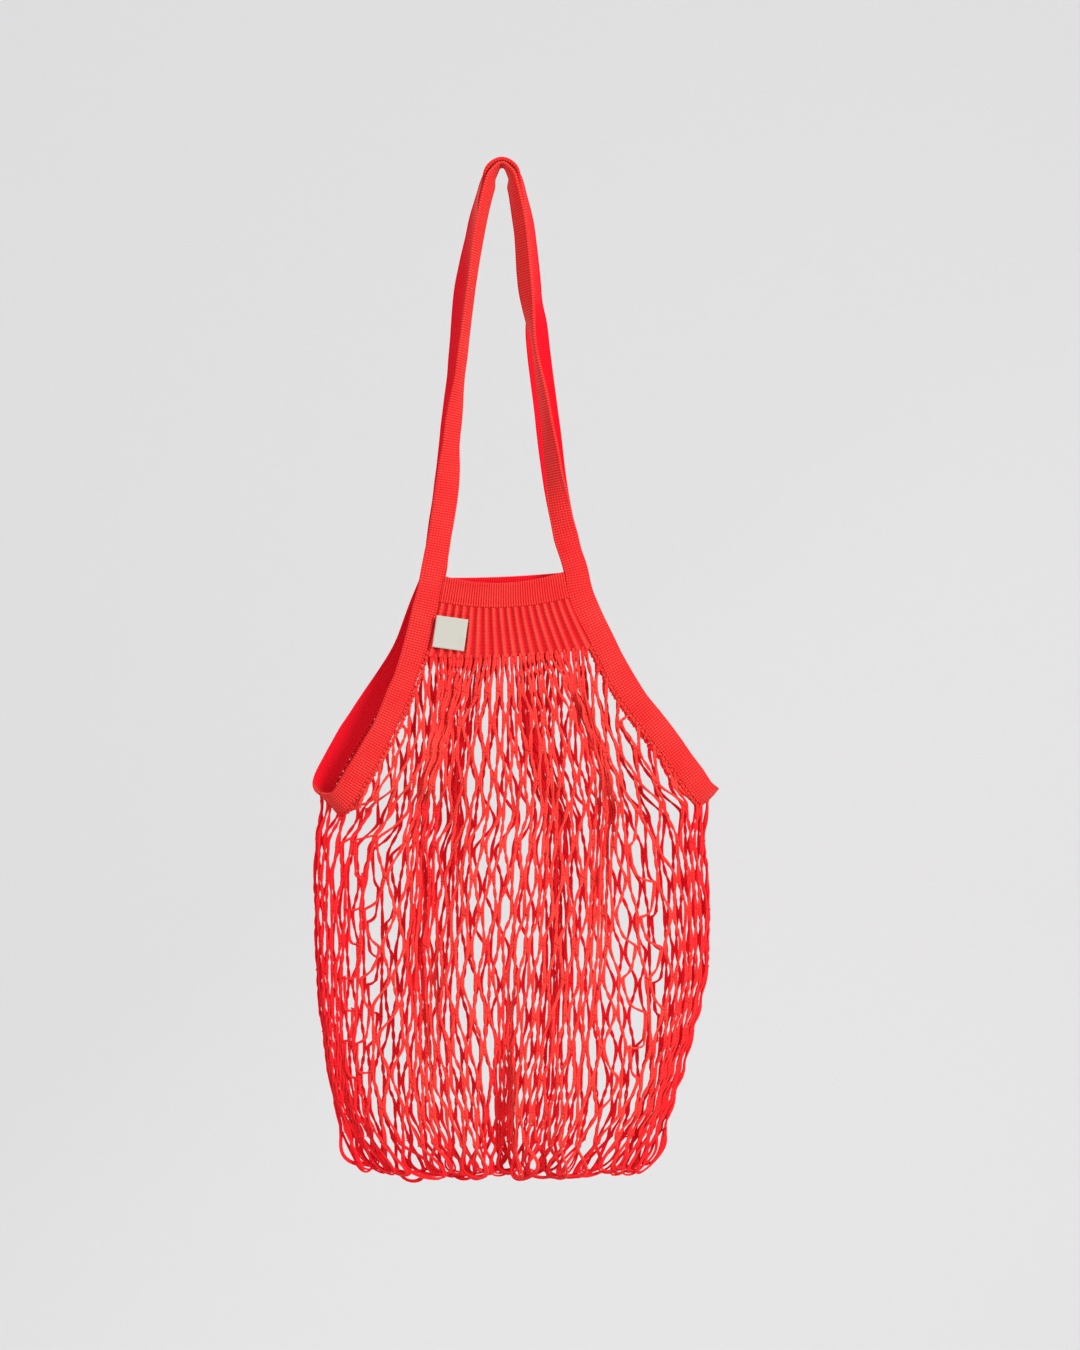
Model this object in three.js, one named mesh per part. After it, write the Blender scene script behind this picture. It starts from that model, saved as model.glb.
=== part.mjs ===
// A string shopping bag: a knitted cotton net pouch that hangs by two long shoulder handles.
// Millimetres, +Z up. The front panel looks along -Y and +X is to its right.
// The origin is where the bag hangs: the underside of the front handle, at the top of its loop.
import * as THREE from "three";

// Driving dimensions
const HANDLE_DROP = 267; // from the hanging point down to the top of the hem
const OPENING_DROP = 154; // from the top of the hem down to the foot of the side openings
const POUCH_DROP = 243; // from the foot of the side openings down to the bottom fold
const BAG_WIDTH = 262; // the pouch, side fold to side fold
const BAG_DEPTH = 52; // the pouch, front to back, as it hangs empty
const HEM_WIDTH = 77;
const HEM_HEIGHT = 17.5;
const HEM_THICK = 2.6;
const HEM_SAG = 6; // how far the middle of the hem hangs below its ends
const HEM_RISE = 3.4; // how far its right end rides above its left one
const YOKE_HEIGHT = 35;
const YOKE_THICK = 1.8; // in the valleys between the ribs
const RIB_RISE = 0.6; // a rib over its valleys, on each face
const RIB_COUNT = 18;
const TAPE_WIDTH = 16;
const TAPE_THICK = 2.2;
const TAPE_CUP = 0.7; // how far the middle of the tape sinks below its edges
const NET_THICK = 3;
const STRAND_WIDTH = 4.6; // a twisted pair of yarns between two knots
const KNOT_REACH = 5.4; // from the middle of a knot to the corner of a mesh hole
const LABEL_SIZE = 21;
const LABEL_THICK = 0.9;
const LABEL_TILT = 8; // degrees
const LABEL_SHIFT = 1; // how far the label laps over the tape beside the yoke
const LABEL_DROP = 21; // from the top of the yoke down to the middle of the label
const HEM_SHIFT = 1.5; // the hem hangs this far right of the hanging point
const POUCH_SHIFT = 8; // and the pouch this far, at the foot of the side openings
const SEAM_GAP = 0.5; // between two pieces that are sewn together
const NET_GAP = 2.5; // between the middle of the net's edge and the tape that it is sewn to
const HANDLE_GAP = 0.6; // between the two handles where they lie on each other
const MEETING_GAP = 1.8; // between the ends of the two tapes at the foot of an opening
const MESH_COUNT = 6; // mesh holes across one panel of the pouch
const ROWS_BESIDE = 3; // half rows of meshes beside the side openings
const ROWS_BELOW = 8; // half rows of meshes from there to the bottom fold
const TAPE_STEP = 10; // longest step along a tape
const RIB_STEPS = 4; // steps across one rib

const FRONT = -1;
const BACK = 1;
const LEFT = -1;
const RIGHT = 1;

// Where a tape's middle line lies beside the hem, and at the side folds
const LEG_REACH = HEM_WIDTH / 2 + SEAM_GAP + TAPE_WIDTH / 2;
const SIDE_REACH = BAG_WIDTH / 2;

// The route of each handle leg from the hanging point to the hem. down is a share of
// HANDLE_DROP, out a share of LEG_REACH, depth a share of BAG_DEPTH, and turn says in
// degrees how far the tape's width is turned from the panel's plane towards edge-on.
const HANDLE_ROUTES = {
  front_left: [
    { down: 0.014, out: 0.1, depth: -0.03, turn: 80 },
    { down: 0.05, out: 0.17, depth: -0.1, turn: 68 },
    { down: 0.15, out: 0.3, depth: -0.16, turn: 70 },
    { down: 0.3, out: 0.43, depth: -0.19, turn: 76 },
    { down: 0.5, out: 0.58, depth: -0.2, turn: 74 },
    { down: 0.65, out: 0.7, depth: -0.2, turn: 52 },
    { down: 0.8, out: 0.79, depth: -0.2, turn: 24 },
    { down: 0.92, out: 0.9, depth: -0.19, turn: 12 },
  ],
  front_right: [
    { down: 0.014, out: 0.1, depth: -0.03, turn: 80 },
    { down: 0.05, out: 0.15, depth: -0.1, turn: 66 },
    { down: 0.15, out: 0.25, depth: -0.16, turn: 58 },
    { down: 0.3, out: 0.32, depth: -0.19, turn: 56 },
    { down: 0.45, out: 0.44, depth: -0.2, turn: 84 },
    { down: 0.6, out: 0.58, depth: -0.2, turn: 68 },
    { down: 0.75, out: 0.7, depth: -0.2, turn: 50 },
    { down: 0.86, out: 0.79, depth: -0.2, turn: 22 },
    { down: 0.94, out: 0.9, depth: -0.19, turn: 6 },
  ],
  back_left: [
    { down: 0.0, out: 0.18, depth: 0.0, turn: 90 },
    { down: 0.06, out: 0.31, depth: 0.08, turn: 80 },
    { down: 0.15, out: 0.42, depth: 0.14, turn: 66 },
    { down: 0.3, out: 0.57, depth: 0.15, turn: 50 },
    { down: 0.5, out: 0.67, depth: 0.15, turn: 50 },
    { down: 0.65, out: 0.75, depth: 0.15, turn: 36 },
    { down: 0.8, out: 0.83, depth: 0.16, turn: 12 },
    { down: 0.92, out: 0.93, depth: 0.18, turn: 4 },
  ],
  back_right: [
    { down: 0.0, out: 0.18, depth: 0.0, turn: 90 },
    { down: 0.06, out: 0.29, depth: 0.08, turn: 80 },
    { down: 0.15, out: 0.38, depth: 0.14, turn: 70 },
    { down: 0.3, out: 0.45, depth: 0.15, turn: 64 },
    { down: 0.42, out: 0.48, depth: 0.15, turn: 20 },
    { down: 0.6, out: 0.6, depth: 0.15, turn: 4 },
    { down: 0.8, out: 0.74, depth: 0.17, turn: 0 },
    { down: 0.92, out: 0.88, depth: 0.19, turn: 0 },
  ],
};

// The route of each tape from the hem down beside its side opening. down is a share of
// OPENING_DROP, and out runs from 0 beside the hem to 1 at the side fold. tip says in
// degrees how far the width has turned from level to straight down, towards the pouch.
const OPENING_ROUTES = {
  front_left: [
    { down: 0.16, out: 0.07, depth: -0.21, turn: 8, tip: 0 },
    { down: 0.42, out: 0.22, depth: -0.24, turn: 6, tip: 0 },
    { down: 0.65, out: 0.41, depth: -0.28, turn: 4, tip: 10 },
    { down: 0.86, out: 0.64, depth: -0.3, turn: 0, tip: 30 },
    { down: 0.98, out: 0.8, depth: -0.23, turn: 0, tip: 42 },
  ],
  front_right: [
    { down: 0.1, out: 0.035, depth: -0.2, turn: 0, tip: 0 },
    { down: 0.3, out: 0.19, depth: -0.22, turn: 0, tip: 0 },
    { down: 0.5, out: 0.37, depth: -0.26, turn: 0, tip: 10 },
    { down: 0.7, out: 0.63, depth: -0.3, turn: 0, tip: 25 },
    { down: 0.86, out: 0.83, depth: -0.28, turn: 0, tip: 36 },
    { down: 0.94, out: 0.93, depth: -0.2, turn: 0, tip: 42 },
  ],
  back_left: [
    { down: 0.15, out: 0.11, depth: 0.2, turn: 0, tip: 0 },
    { down: 0.35, out: 0.27, depth: 0.22, turn: 0, tip: 0 },
    { down: 0.6, out: 0.59, depth: 0.24, turn: 0, tip: 15 },
    { down: 0.8, out: 0.83, depth: 0.25, turn: 0, tip: 35 },
    { down: 0.92, out: 0.94, depth: 0.19, turn: 0, tip: 45 },
  ],
  back_right: [
    { down: 0.1, out: 0.035, depth: 0.2, turn: 0, tip: 0 },
    { down: 0.3, out: 0.18, depth: 0.22, turn: 0, tip: 0 },
    { down: 0.5, out: 0.36, depth: 0.24, turn: 0, tip: 10 },
    { down: 0.7, out: 0.6, depth: 0.26, turn: 0, tip: 25 },
    { down: 0.85, out: 0.81, depth: 0.24, turn: 0, tip: 36 },
    { down: 0.93, out: 0.91, depth: 0.18, turn: 0, tip: 42 },
  ],
};

// Where the front and back tapes meet at the foot of each side opening, where the strap
// folds over from front to back
const OPENING_FEET = {
  left: { down: 0.98, out: 0.91, tip: 46 },
  right: { down: 0.965, out: 0.98, tip: 45 },
};

// The pouch from the foot of the side openings (level 0) to the bottom fold (level 1).
// left and right are shares of SIDE_REACH; front and back are shares of BAG_DEPTH, the
// bulge of each panel before and behind the side folds; lift is the share of POUCH_DROP
// by which the sides ride above the middle.
const POUCH_SECTIONS = [
  { level: -1, left: 1, right: 1, front: 0.04, back: 0.02, lift: 0 },
  { level: -0.5, left: 1, right: 1, front: 0.14, back: 0.08, lift: 0 },
  { level: 0, left: 0.9, right: 0.95, front: 0.47, back: 0.38, lift: 0 },
  { level: 0.04, left: 0.97, right: 0.97, front: 0.48, back: 0.39, lift: 0 },
  { level: 0.1, left: 1.01, right: 0.99, front: 0.5, back: 0.41, lift: 0 },
  { level: 0.3, left: 1.0, right: 1.005, front: 0.54, back: 0.44, lift: 0 },
  { level: 0.45, left: 0.985, right: 1.005, front: 0.54, back: 0.44, lift: 0.01 },
  { level: 0.6, left: 0.955, right: 0.965, front: 0.51, back: 0.43, lift: 0.02 },
  { level: 0.8, left: 0.885, right: 0.88, front: 0.44, back: 0.37, lift: 0.03 },
  { level: 0.9, left: 0.835, right: 0.84, front: 0.33, back: 0.29, lift: 0.04 },
  { level: 1, left: 0.74, right: 0.77, front: 0, back: 0, lift: 0.045 },
];

// The upright folds of the front panel. across runs from -1 at the left side to 1 at the
// right, from and to are levels, width is a share of half the panel, and depth is a
// share of BAG_DEPTH by which the fold sinks.
const FOLDS = [
  { across: -0.42, from: -0.8, to: 0.5, width: 0.14, depth: 0.2 },
  { across: 0.42, from: -0.8, to: 0.15, width: 0.15, depth: 0.16 },
  { across: 0.0, from: 0.35, to: 0.95, width: 0.15, depth: 0.18 },
  { across: -0.8, from: 0.05, to: 0.8, width: 0.12, depth: 0.14 },
  { across: 0.74, from: 0.05, to: 0.7, width: 0.14, depth: 0.14 },
];

const COTTON = { color: 0xe8383a, roughness: 0.92, metalness: 0 };
const CREAM = { color: 0xe3e0d6, roughness: 0.85, metalness: 0 };

const { lerp, degToRad, smoothstep } = THREE.MathUtils;
const point = (x, y, z) => new THREE.Vector3(x, y, z);

// The value of one column of a table at a level, eased between its rows.
function tableAt(rows, key, level) {
  const next = rows.findIndex((row) => row.level >= level);
  if (next <= 0) return next ? rows.at(-1)[key] : rows[0][key];
  const [a, b] = [rows[next - 1], rows[next]];
  return lerp(a[key], b[key], (level - a.level) / (b.level - a.level));
}

// A closed solid from a surface of faces, thickened along its own normals. The edges
// that only one face uses, round the outside and round each hole, become walls.
function thickSheet(name, vertices, faces, half, finish) {
  const normals = vertices.map(() => point(0, 0, 0));
  for (const face of faces) {
    const [a, b, c, d = face[0]] = face.map((i) => vertices[i]);
    const last = face.length === 4 ? d : a;
    const turn = point().subVectors(c, a).cross(point().subVectors(last, b));
    if (face.length === 3) turn.crossVectors(point().subVectors(b, a), point().subVectors(c, a));
    face.forEach((i) => normals[i].add(turn));
  }
  const count = vertices.length;
  const outer = vertices.map((v, i) => v.clone().addScaledVector(normals[i].normalize(), half(i)));
  const inner = vertices.map((v, i) => v.clone().addScaledVector(normals[i], -half(i)));
  const edges = new Set(faces.flatMap((f) => f.map((v, i) => `${v} ${f[(i + 1) % f.length]}`)));
  const index = [];
  for (const face of faces) {
    for (let i = 2; i < face.length; i += 1) {
      index.push(face[0], face[i - 1], face[i]);
      index.push(face[0] + count, face[i] + count, face[i - 1] + count);
    }
    face.forEach((a, i) => {
      const b = face[(i + 1) % face.length];
      if (!edges.has(`${b} ${a}`)) index.push(b, a, a + count, b, a + count, b + count);
    });
  }
  const geometry = new THREE.BufferGeometry().setFromPoints([...outer, ...inner]);
  geometry.setIndex(index);
  const mesh = new THREE.Mesh(geometry, new THREE.MeshStandardMaterial(finish));
  mesh.name = name;
  return mesh;
}

// A grid of faces over rows by columns of vertices, facing the viewer's side of a panel.
function gridFaces(rows, columns, layer) {
  const faces = [];
  for (let r = 0; r + 1 < rows; r += 1) {
    for (let c = 0; c + 1 < columns; c += 1) {
      const a = r * columns + c;
      const face = [a, a + columns, a + columns + 1, a + 1];
      faces.push(layer === FRONT ? face : face.reverse());
    }
  }
  return faces;
}

const layerName = (layer) => (layer === FRONT ? "front" : "back");
const sideName = (side) => (side === LEFT ? "left" : "right");

// The direction of a tape's width, towards the middle of the bag and, at the foot of an
// opening, down towards the pouch.
function widthVector(layer, side, { turn, tip = 0 }) {
  const t = degToRad(turn);
  const level = point(-side * Math.cos(t), -layer * Math.sin(t), 0);
  return level.multiplyScalar(Math.cos(degToRad(tip))).add(point(0, 0, -Math.sin(degToRad(tip))));
}

function openingX(side, { down, out }) {
  const shift = lerp(HEM_SHIFT, POUCH_SHIFT, down);
  return side * lerp(LEG_REACH, SIDE_REACH, out) + shift;
}

// One leg of a tape from the hanging point down: its middle line and width direction.
function legRows(layer, side) {
  const name = `${layerName(layer)}_${sideName(side)}`;
  const handle = HANDLE_ROUTES[name].map((row) => ({
    middle: point(
      side * row.out * LEG_REACH + row.down * HEM_SHIFT,
      row.depth * BAG_DEPTH,
      -row.down * HANDLE_DROP,
    ),
    width: widthVector(layer, side, row),
  }));
  const hemDepth = (layer * BAG_DEPTH) / 5;
  const rise = (side * HEM_RISE) / 2;
  const hem = { middle: point(side * LEG_REACH + HEM_SHIFT, hemDepth, rise - HANDLE_DROP) };
  hem.width = widthVector(layer, side, OPENING_ROUTES[name][0]);
  const opening = OPENING_ROUTES[name].map((row) => ({
    middle: point(openingX(side, row), row.depth * BAG_DEPTH, -HANDLE_DROP - row.down * OPENING_DROP),
    width: widthVector(layer, side, row),
  }));
  return { handle, hem, opening };
}

function hangingRow(layer) {
  const lifted = layer === FRONT ? 0 : TAPE_THICK + HANDLE_GAP;
  return { middle: point(0, 0, TAPE_THICK / 2 + TAPE_CUP / 2 + lifted), width: point(0, -layer, 0) };
}

function footRow(side) {
  const row = OPENING_FEET[sideName(side)];
  return {
    middle: point(openingX(side, row), 0, -HANDLE_DROP - row.down * OPENING_DROP),
    width: widthVector(FRONT, side, { turn: 0, tip: row.tip }),
  };
}

// All the rows of one tape from the left foot over the hanging point to the right foot
function tapeRows(layer) {
  const left = legRows(layer, LEFT);
  const right = legRows(layer, RIGHT);
  const rising = [...left.handle, left.hem, ...left.opening].reverse();
  return [...rising, hangingRow(layer), ...right.handle, right.hem, ...right.opening];
}

// Both tapes as one closed round, so that they meet smoothly at the feet of the openings
const FRONT_ROWS = tapeRows(FRONT);
const BACK_ROWS = tapeRows(BACK).reverse();
const ROUND = [footRow(LEFT), ...FRONT_ROWS, footRow(RIGHT), ...BACK_ROWS];
const MIDDLES = new THREE.CatmullRomCurve3(ROUND.map((row) => row.middle), true, "centripetal");

// A tape's middle, width and face directions at a place along the round, in rows
function tapeAt(place) {
  const count = ROUND.length;
  const at = ((place % count) + count) % count;
  const [a, b] = [ROUND[Math.floor(at)], ROUND[(Math.floor(at) + 1) % count]];
  const along = MIDDLES.getTangent(at / count);
  const share = smoothstep(at - Math.floor(at), 0, 1);
  const width = a.width.clone().lerp(b.width, share);
  width.addScaledVector(along, -width.dot(along)).normalize();
  return { middle: MIDDLES.getPoint(at / count), along, width };
}

// The line that a piece sewn to a tape follows, a gap beyond its width, at a place along
// the round
function sewnEdge(place, gap) {
  const { middle, width } = tapeAt(place);
  return middle.addScaledVector(width, TAPE_WIDTH / 2 + gap);
}

// The places along the round of each tape's two ends and of its two hem corners
const FOOT_PLACES = { left: 0, right: FRONT_ROWS.length + 1 };
function legPlaces(layer, side) {
  const name = `${layerName(layer)}_${sideName(side)}`;
  const rows = OPENING_ROUTES[name].length + 1;
  const towards = layer === side ? 1 : -1;
  const foot = FOOT_PLACES[sideName(side)];
  return { foot, hem: foot + towards * rows };
}

// The sewn edge from a hem corner to the foot of its opening, by length from the hem
const EDGE_STEPS = 200;
const EDGES = new Map();
function edgeCurve(layer, side, gap = SEAM_GAP) {
  const key = `${layer} ${side} ${gap}`;
  if (!EDGES.has(key)) {
    const { foot, hem } = legPlaces(layer, side);
    const places = Array.from({ length: EDGE_STEPS + 1 }, (_, i) => lerp(hem, foot, i / EDGE_STEPS));
    EDGES.set(key, new THREE.CatmullRomCurve3(places.map((place) => sewnEdge(place, gap))));
  }
  return EDGES.get(key);
}

// The point of a sewn edge a given length below its hem corner
function edgeAt(layer, side, length, gap = SEAM_GAP) {
  const curve = edgeCurve(layer, side, gap);
  return curve.getPointAt(Math.min(length / curve.getLength(), 1));
}

const YOKE_TOP = HEM_HEIGHT + SEAM_GAP;
const YOKE_FOOT = YOKE_TOP + YOKE_HEIGHT;
const NET_TOP = YOKE_FOOT + SEAM_GAP + NET_THICK / 4;

// A point between the two sewn edges of a panel: across from -1 to 1, a length below the hem
function panelPoint(layer, across, length, bulge, sag) {
  const left = edgeAt(layer, LEFT, length);
  const right = edgeAt(layer, RIGHT, length);
  const arch = 1 - across * across;
  return left.lerp(right, (across + 1) / 2).add(point(0, layer * bulge * arch, -sag * arch));
}

const HEM_BULGE = BAG_DEPTH / 40;

// The sag of a level line of a panel, which fades from the hem down to the yoke's foot
const sagAt = (length) => HEM_SAG * (1 - length / NET_TOP / 2);

function buildPanel(name, layer, from, to, rows, columns, half) {
  const vertices = [];
  for (let r = 0; r < rows; r += 1) {
    const length = lerp(from, to, r / (rows - 1));
    for (let c = 0; c < columns; c += 1) {
      const across = (2 * c) / (columns - 1) - 1;
      vertices.push(panelPoint(layer, across, length, HEM_BULGE, sagAt(length)));
    }
  }
  return thickSheet(name, vertices, gridFaces(rows, columns, layer), half, COTTON);
}

// The flat band that finishes the mouth of a panel
function buildHem(layer) {
  return buildPanel(`hem_${layerName(layer)}`, layer, 0, HEM_HEIGHT, 3, 13, () => HEM_THICK / 2);
}

// The ribbed yoke between the hem and the net
function buildYoke(layer) {
  const columns = RIB_COUNT * RIB_STEPS + 1;
  const ribHalf = (i) => {
    const phase = ((i % columns) / RIB_STEPS) * 2 * Math.PI;
    return YOKE_THICK / 2 + (RIB_RISE * (1 - Math.cos(phase))) / 2;
  };
  return buildPanel(`yoke_${layerName(layer)}`, layer, YOKE_TOP, YOKE_FOOT, 3, columns, ribHalf);
}

// How far the upright folds sink the front panel at a place
function foldDepth(across, level) {
  let sunk = 0;
  for (const fold of FOLDS) {
    const span = smoothstep(level, fold.from - 0.2, fold.from + 0.1);
    const end = 1 - smoothstep(level, fold.to - 0.1, fold.to + 0.2);
    const off = (across - fold.across) / fold.width;
    sunk += fold.depth * BAG_DEPTH * span * end * Math.exp(-off * off);
  }
  return sunk;
}

// A point of the net's middle surface. across runs from -1 at the left edge to 1 at the
// right; level runs from -1 at the yoke over 0 at the foot of the openings to 1 at the
// bottom fold.
function netPoint(layer, across, level) {
  const ends = [LEFT, RIGHT].map((side) => {
    const whole = edgeCurve(layer, side, NET_GAP).getLength();
    const end = edgeAt(layer, side, lerp(whole, NET_TOP, Math.max(-level, 0)), NET_GAP);
    if (level > 0) {
      const share = tableAt(POUCH_SECTIONS, sideName(side), level);
      const foot = tableAt(POUCH_SECTIONS, sideName(side), 0);
      end.x += side * SIDE_REACH * (share - foot) - POUCH_SHIFT * level * level;
      end.z -= POUCH_DROP * level;
    }
    return end;
  });
  const bulge = tableAt(POUCH_SECTIONS, layerName(layer), level) * BAG_DEPTH;
  const arch = Math.max(1 - Math.abs(across) ** 2.4, 0);
  const round = level < 0 ? lerp(0.55, 1, -level) : 0.55;
  const p = ends[0].lerp(ends[1], (across + 1) / 2);
  const sunk = layer === FRONT ? Math.min(foldDepth(across, level), bulge * 0.8) : 0;
  p.y += layer * (bulge * arch ** round - sunk * arch);
  const lift = tableAt(POUCH_SECTIONS, "lift", level) * POUCH_DROP;
  const sag = level < 0 ? sagAt(NET_TOP) * -level : 0;
  p.z += lift * (across * across) - sag * (1 - across * across);
  return p;
}

// The net of diamond meshes, front and back in one piece. A mesh lies round each centre
// (column, row), with knots at its four corners, half a row above and below.
function buildNet() {
  const wide = 2 * MESH_COUNT;
  const vertices = [];
  const known = new Map();
  const sharedKey = (layer, column, row) => {
    const side = (column === 0 || column === wide) && row >= 0;
    return `${side || row === ROWS_BELOW ? 0 : layer} ${column} ${row}`;
  };
  const place = (layer, column, row) => {
    const reach = MESH_COUNT + Math.min(row, 0);
    const level = row < 0 ? row / ROWS_BESIDE : row / ROWS_BELOW;
    return netPoint(layer, Math.max(-1, Math.min(1, (column - MESH_COUNT) / reach)), level);
  };
  const vertexAt = (key, makePoint) => {
    if (!known.has(key)) {
      known.set(key, vertices.length);
      vertices.push(makePoint());
    }
    return known.get(key);
  };
  // A corner or the middle of a strand, as [layer, column, row]
  const cornerOf = ([layer, column, row]) =>
    vertexAt(sharedKey(layer, column, row), () => place(layer, column, row));
  const strandOf = (a, b) => {
    const ends = [a, b].map(([layer, column, row]) => sharedKey(layer, column, row)).sort();
    const layer = a[0] === b[0] || onEdge(b) ? a[0] : b[0];
    return vertexAt(ends.join(" to "), () => place(layer, (a[1] + b[1]) / 2, (a[2] + b[2]) / 2));
  };
  const onEdge = ([, column, row]) => column === 0 || column === wide || row === ROWS_BELOW;
  const faces = [];
  const addMesh = (corners) => {
    const ring = corners.flatMap((a, i) => [cornerOf(a), strandOf(a, corners[(i + 1) % 4])]);
    const middle = point();
    ring.forEach((v) => middle.addScaledVector(vertices[v], 1 / ring.length));
    const hole = ring.map((v, i) => {
      const reach = i % 2 ? STRAND_WIDTH / 2 : KNOT_REACH;
      const share = Math.min(reach / middle.distanceTo(vertices[v]), 0.45);
      vertices.push(vertices[v].clone().lerp(middle, share));
      return vertices.length - 1;
    });
    ring.forEach((v, i) => {
      const n = (i + 1) % ring.length;
      faces.push([v, ring[n], hole[n], hole[i]]);
    });
  };
  for (const layer of [FRONT, BACK]) {
    for (let row = 1 - ROWS_BESIDE; row < ROWS_BELOW; row += 1) {
      const margin = Math.max(-row, 0) + 1;
      for (let column = margin; column <= wide - margin; column += 1) {
        if ((column + row) % 2 === 0) continue;
        const left = [layer, column - 1, row];
        const right = [layer, column + 1, row];
        const over = [layer, column, row - 1];
        const under = [layer, column, row + 1];
        addMesh(layer === FRONT ? [over, left, under, right] : [over, right, under, left]);
      }
    }
  }
  for (let row = 1; row < ROWS_BELOW; row += 2) {
    const left = [FRONT, 1, row];
    addMesh([[BACK, 0, row - 1], [BACK, 1, row], [BACK, 0, row + 1], left]);
    const right = [FRONT, wide - 1, row];
    addMesh([[BACK, wide, row - 1], right, [BACK, wide, row + 1], [BACK, wide - 1, row]]);
  }
  for (let column = 1; column < wide; column += 2) {
    const [left, right] = [column - 1, column + 1].map((c) => [FRONT, c, ROWS_BELOW]);
    addMesh([[FRONT, column, ROWS_BELOW - 1], left, [BACK, column, ROWS_BELOW - 1], right]);
  }
  return thickSheet("net", vertices, faces, () => NET_THICK / 2, COTTON);
}

// A short way along the round, as a share of the way between two rows
const NEAR_END = 0.05;

// One tape: a cupped ribbon from foot to foot, up one edge of its panel, over the
// hanging point as a shoulder handle, and down the other edge
function buildTape(layer) {
  const [from, to] = layer === FRONT
    ? [FOOT_PLACES.left, FOOT_PLACES.right]
    : [FOOT_PLACES.right, ROUND.length];
  const vertices = [];
  const addStation = (place) => {
    const { middle, along, width } = tapeAt(place);
    const face = point().crossVectors(along, width);
    for (const share of [-1, 0, 1]) {
      const cup = TAPE_CUP * (Math.abs(share) - 0.5);
      const v = middle.clone().addScaledVector(width, (share * TAPE_WIDTH) / 2);
      vertices.push(v.addScaledVector(face, cup));
    }
  };
  const places = [];
  for (let row = from; row < to; row += 1) {
    const span = tapeAt(row).middle.distanceTo(tapeAt(row + 1).middle);
    const steps = Math.max(2, Math.ceil(span / TAPE_STEP));
    for (let i = 0; i < steps; i += 1) places.push(row + i / steps);
  }
  const trim = (place, towards) => {
    const nearby = place + towards * NEAR_END;
    const pace = tapeAt(place).middle.distanceTo(tapeAt(nearby).middle) / NEAR_END;
    return place + (towards * MEETING_GAP) / 2 / pace;
  };
  places[0] = trim(from, 1);
  places.push(trim(to, -1));
  places.forEach(addStation);
  const faces = gridFaces(places.length, 3, BACK);
  return thickSheet(`tape_${layerName(layer)}`, vertices, faces, () => TAPE_THICK / 2, COTTON);
}

// The bare cloth label over the left end of the front yoke
function buildLabel() {
  const across = -1 + (2 * (LABEL_SIZE / 2 - LABEL_SHIFT)) / HEM_WIDTH;
  const middle = panelPoint(FRONT, across, YOKE_TOP + LABEL_DROP, HEM_BULGE, 0);
  const standOff = YOKE_THICK / 2 + RIB_RISE + SEAM_GAP + LABEL_THICK;
  const label = new THREE.Mesh(
    new THREE.BoxGeometry(LABEL_SIZE, LABEL_THICK, LABEL_SIZE),
    new THREE.MeshStandardMaterial(CREAM),
  );
  label.name = "label";
  label.position.copy(middle).add(point(0, -standOff - TAPE_CUP, 0));
  label.rotation.y = degToRad(LABEL_TILT);
  return label;
}

const bag = new THREE.Group();
bag.add(buildNet(), buildLabel());
for (const layer of [FRONT, BACK]) bag.add(buildHem(layer), buildYoke(layer), buildTape(layer));

export default bag;
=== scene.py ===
# %% [markdown]
# # A knitted string bag in yarn, tape and rib
#
# The bag hangs by two long handles. Its measured parts are already there as a fixed frame, in
# metres, with the hanging point at the origin, +Z up and the front panel facing -Y. This notebook
# dresses that frame: the coarse net becomes hundreds of knitted yarns, and the smooth tapes, hems
# and yokes get their ribs, stitches and cotton.

# %% Load the frame
import functools
import math

import bmesh
import bpy
import numpy as np
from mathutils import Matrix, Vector


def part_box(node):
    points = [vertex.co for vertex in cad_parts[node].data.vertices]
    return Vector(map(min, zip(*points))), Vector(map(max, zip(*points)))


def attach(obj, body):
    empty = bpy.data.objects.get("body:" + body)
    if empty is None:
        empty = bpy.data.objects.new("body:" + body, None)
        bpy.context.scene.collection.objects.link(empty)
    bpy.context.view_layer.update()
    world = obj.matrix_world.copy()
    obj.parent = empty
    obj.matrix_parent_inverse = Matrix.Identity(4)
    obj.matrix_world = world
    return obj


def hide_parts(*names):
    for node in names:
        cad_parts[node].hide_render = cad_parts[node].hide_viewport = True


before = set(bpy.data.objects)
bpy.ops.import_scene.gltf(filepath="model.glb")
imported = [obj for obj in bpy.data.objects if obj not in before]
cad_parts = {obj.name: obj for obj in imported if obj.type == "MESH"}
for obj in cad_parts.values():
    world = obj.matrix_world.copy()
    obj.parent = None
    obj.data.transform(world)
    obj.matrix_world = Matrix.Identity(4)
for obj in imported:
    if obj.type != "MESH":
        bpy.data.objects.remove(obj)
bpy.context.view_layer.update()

# %% [markdown]
# ## The sizes that everything follows
#
# Working in millimetres keeps the numbers readable for a maker; one function turns them into
# metres when a mesh is made. The sizes are those of the frame, so each dressed piece lies where
# its plain solid lies.

# %% Named sizes
MM = 0.001
HANDLE_DROP = 267.0
OPENING_DROP = 154.0
POUCH_DROP = 243.0
BAG_WIDTH = 262.0
BAG_DEPTH = 52.0
HEM_WIDTH = 77.0
HEM_HEIGHT = 17.5
HEM_SAG = 6.0
HEM_RISE = 3.4
YOKE_HEIGHT = 35.0
RIB_COUNT = 18
TAPE_WIDTH = 16.0
TAPE_THICK = 2.2
TAPE_CUP = 0.7
NET_THICK = 3.0
HEM_SHIFT = 1.5
POUCH_SHIFT = 8.0
SEAM_GAP = 0.5
HANDLE_GAP = 0.6
NET_GAP = 2.5
FRONT, BACK = -1, 1
LEFT, RIGHT = -1, 1
LAYERS = {FRONT: "front", BACK: "back"}
SIDES = {LEFT: "left", RIGHT: "right"}
LEG_REACH = HEM_WIDTH / 2 + SEAM_GAP + TAPE_WIDTH / 2
SIDE_REACH = BAG_WIDTH / 2
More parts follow.
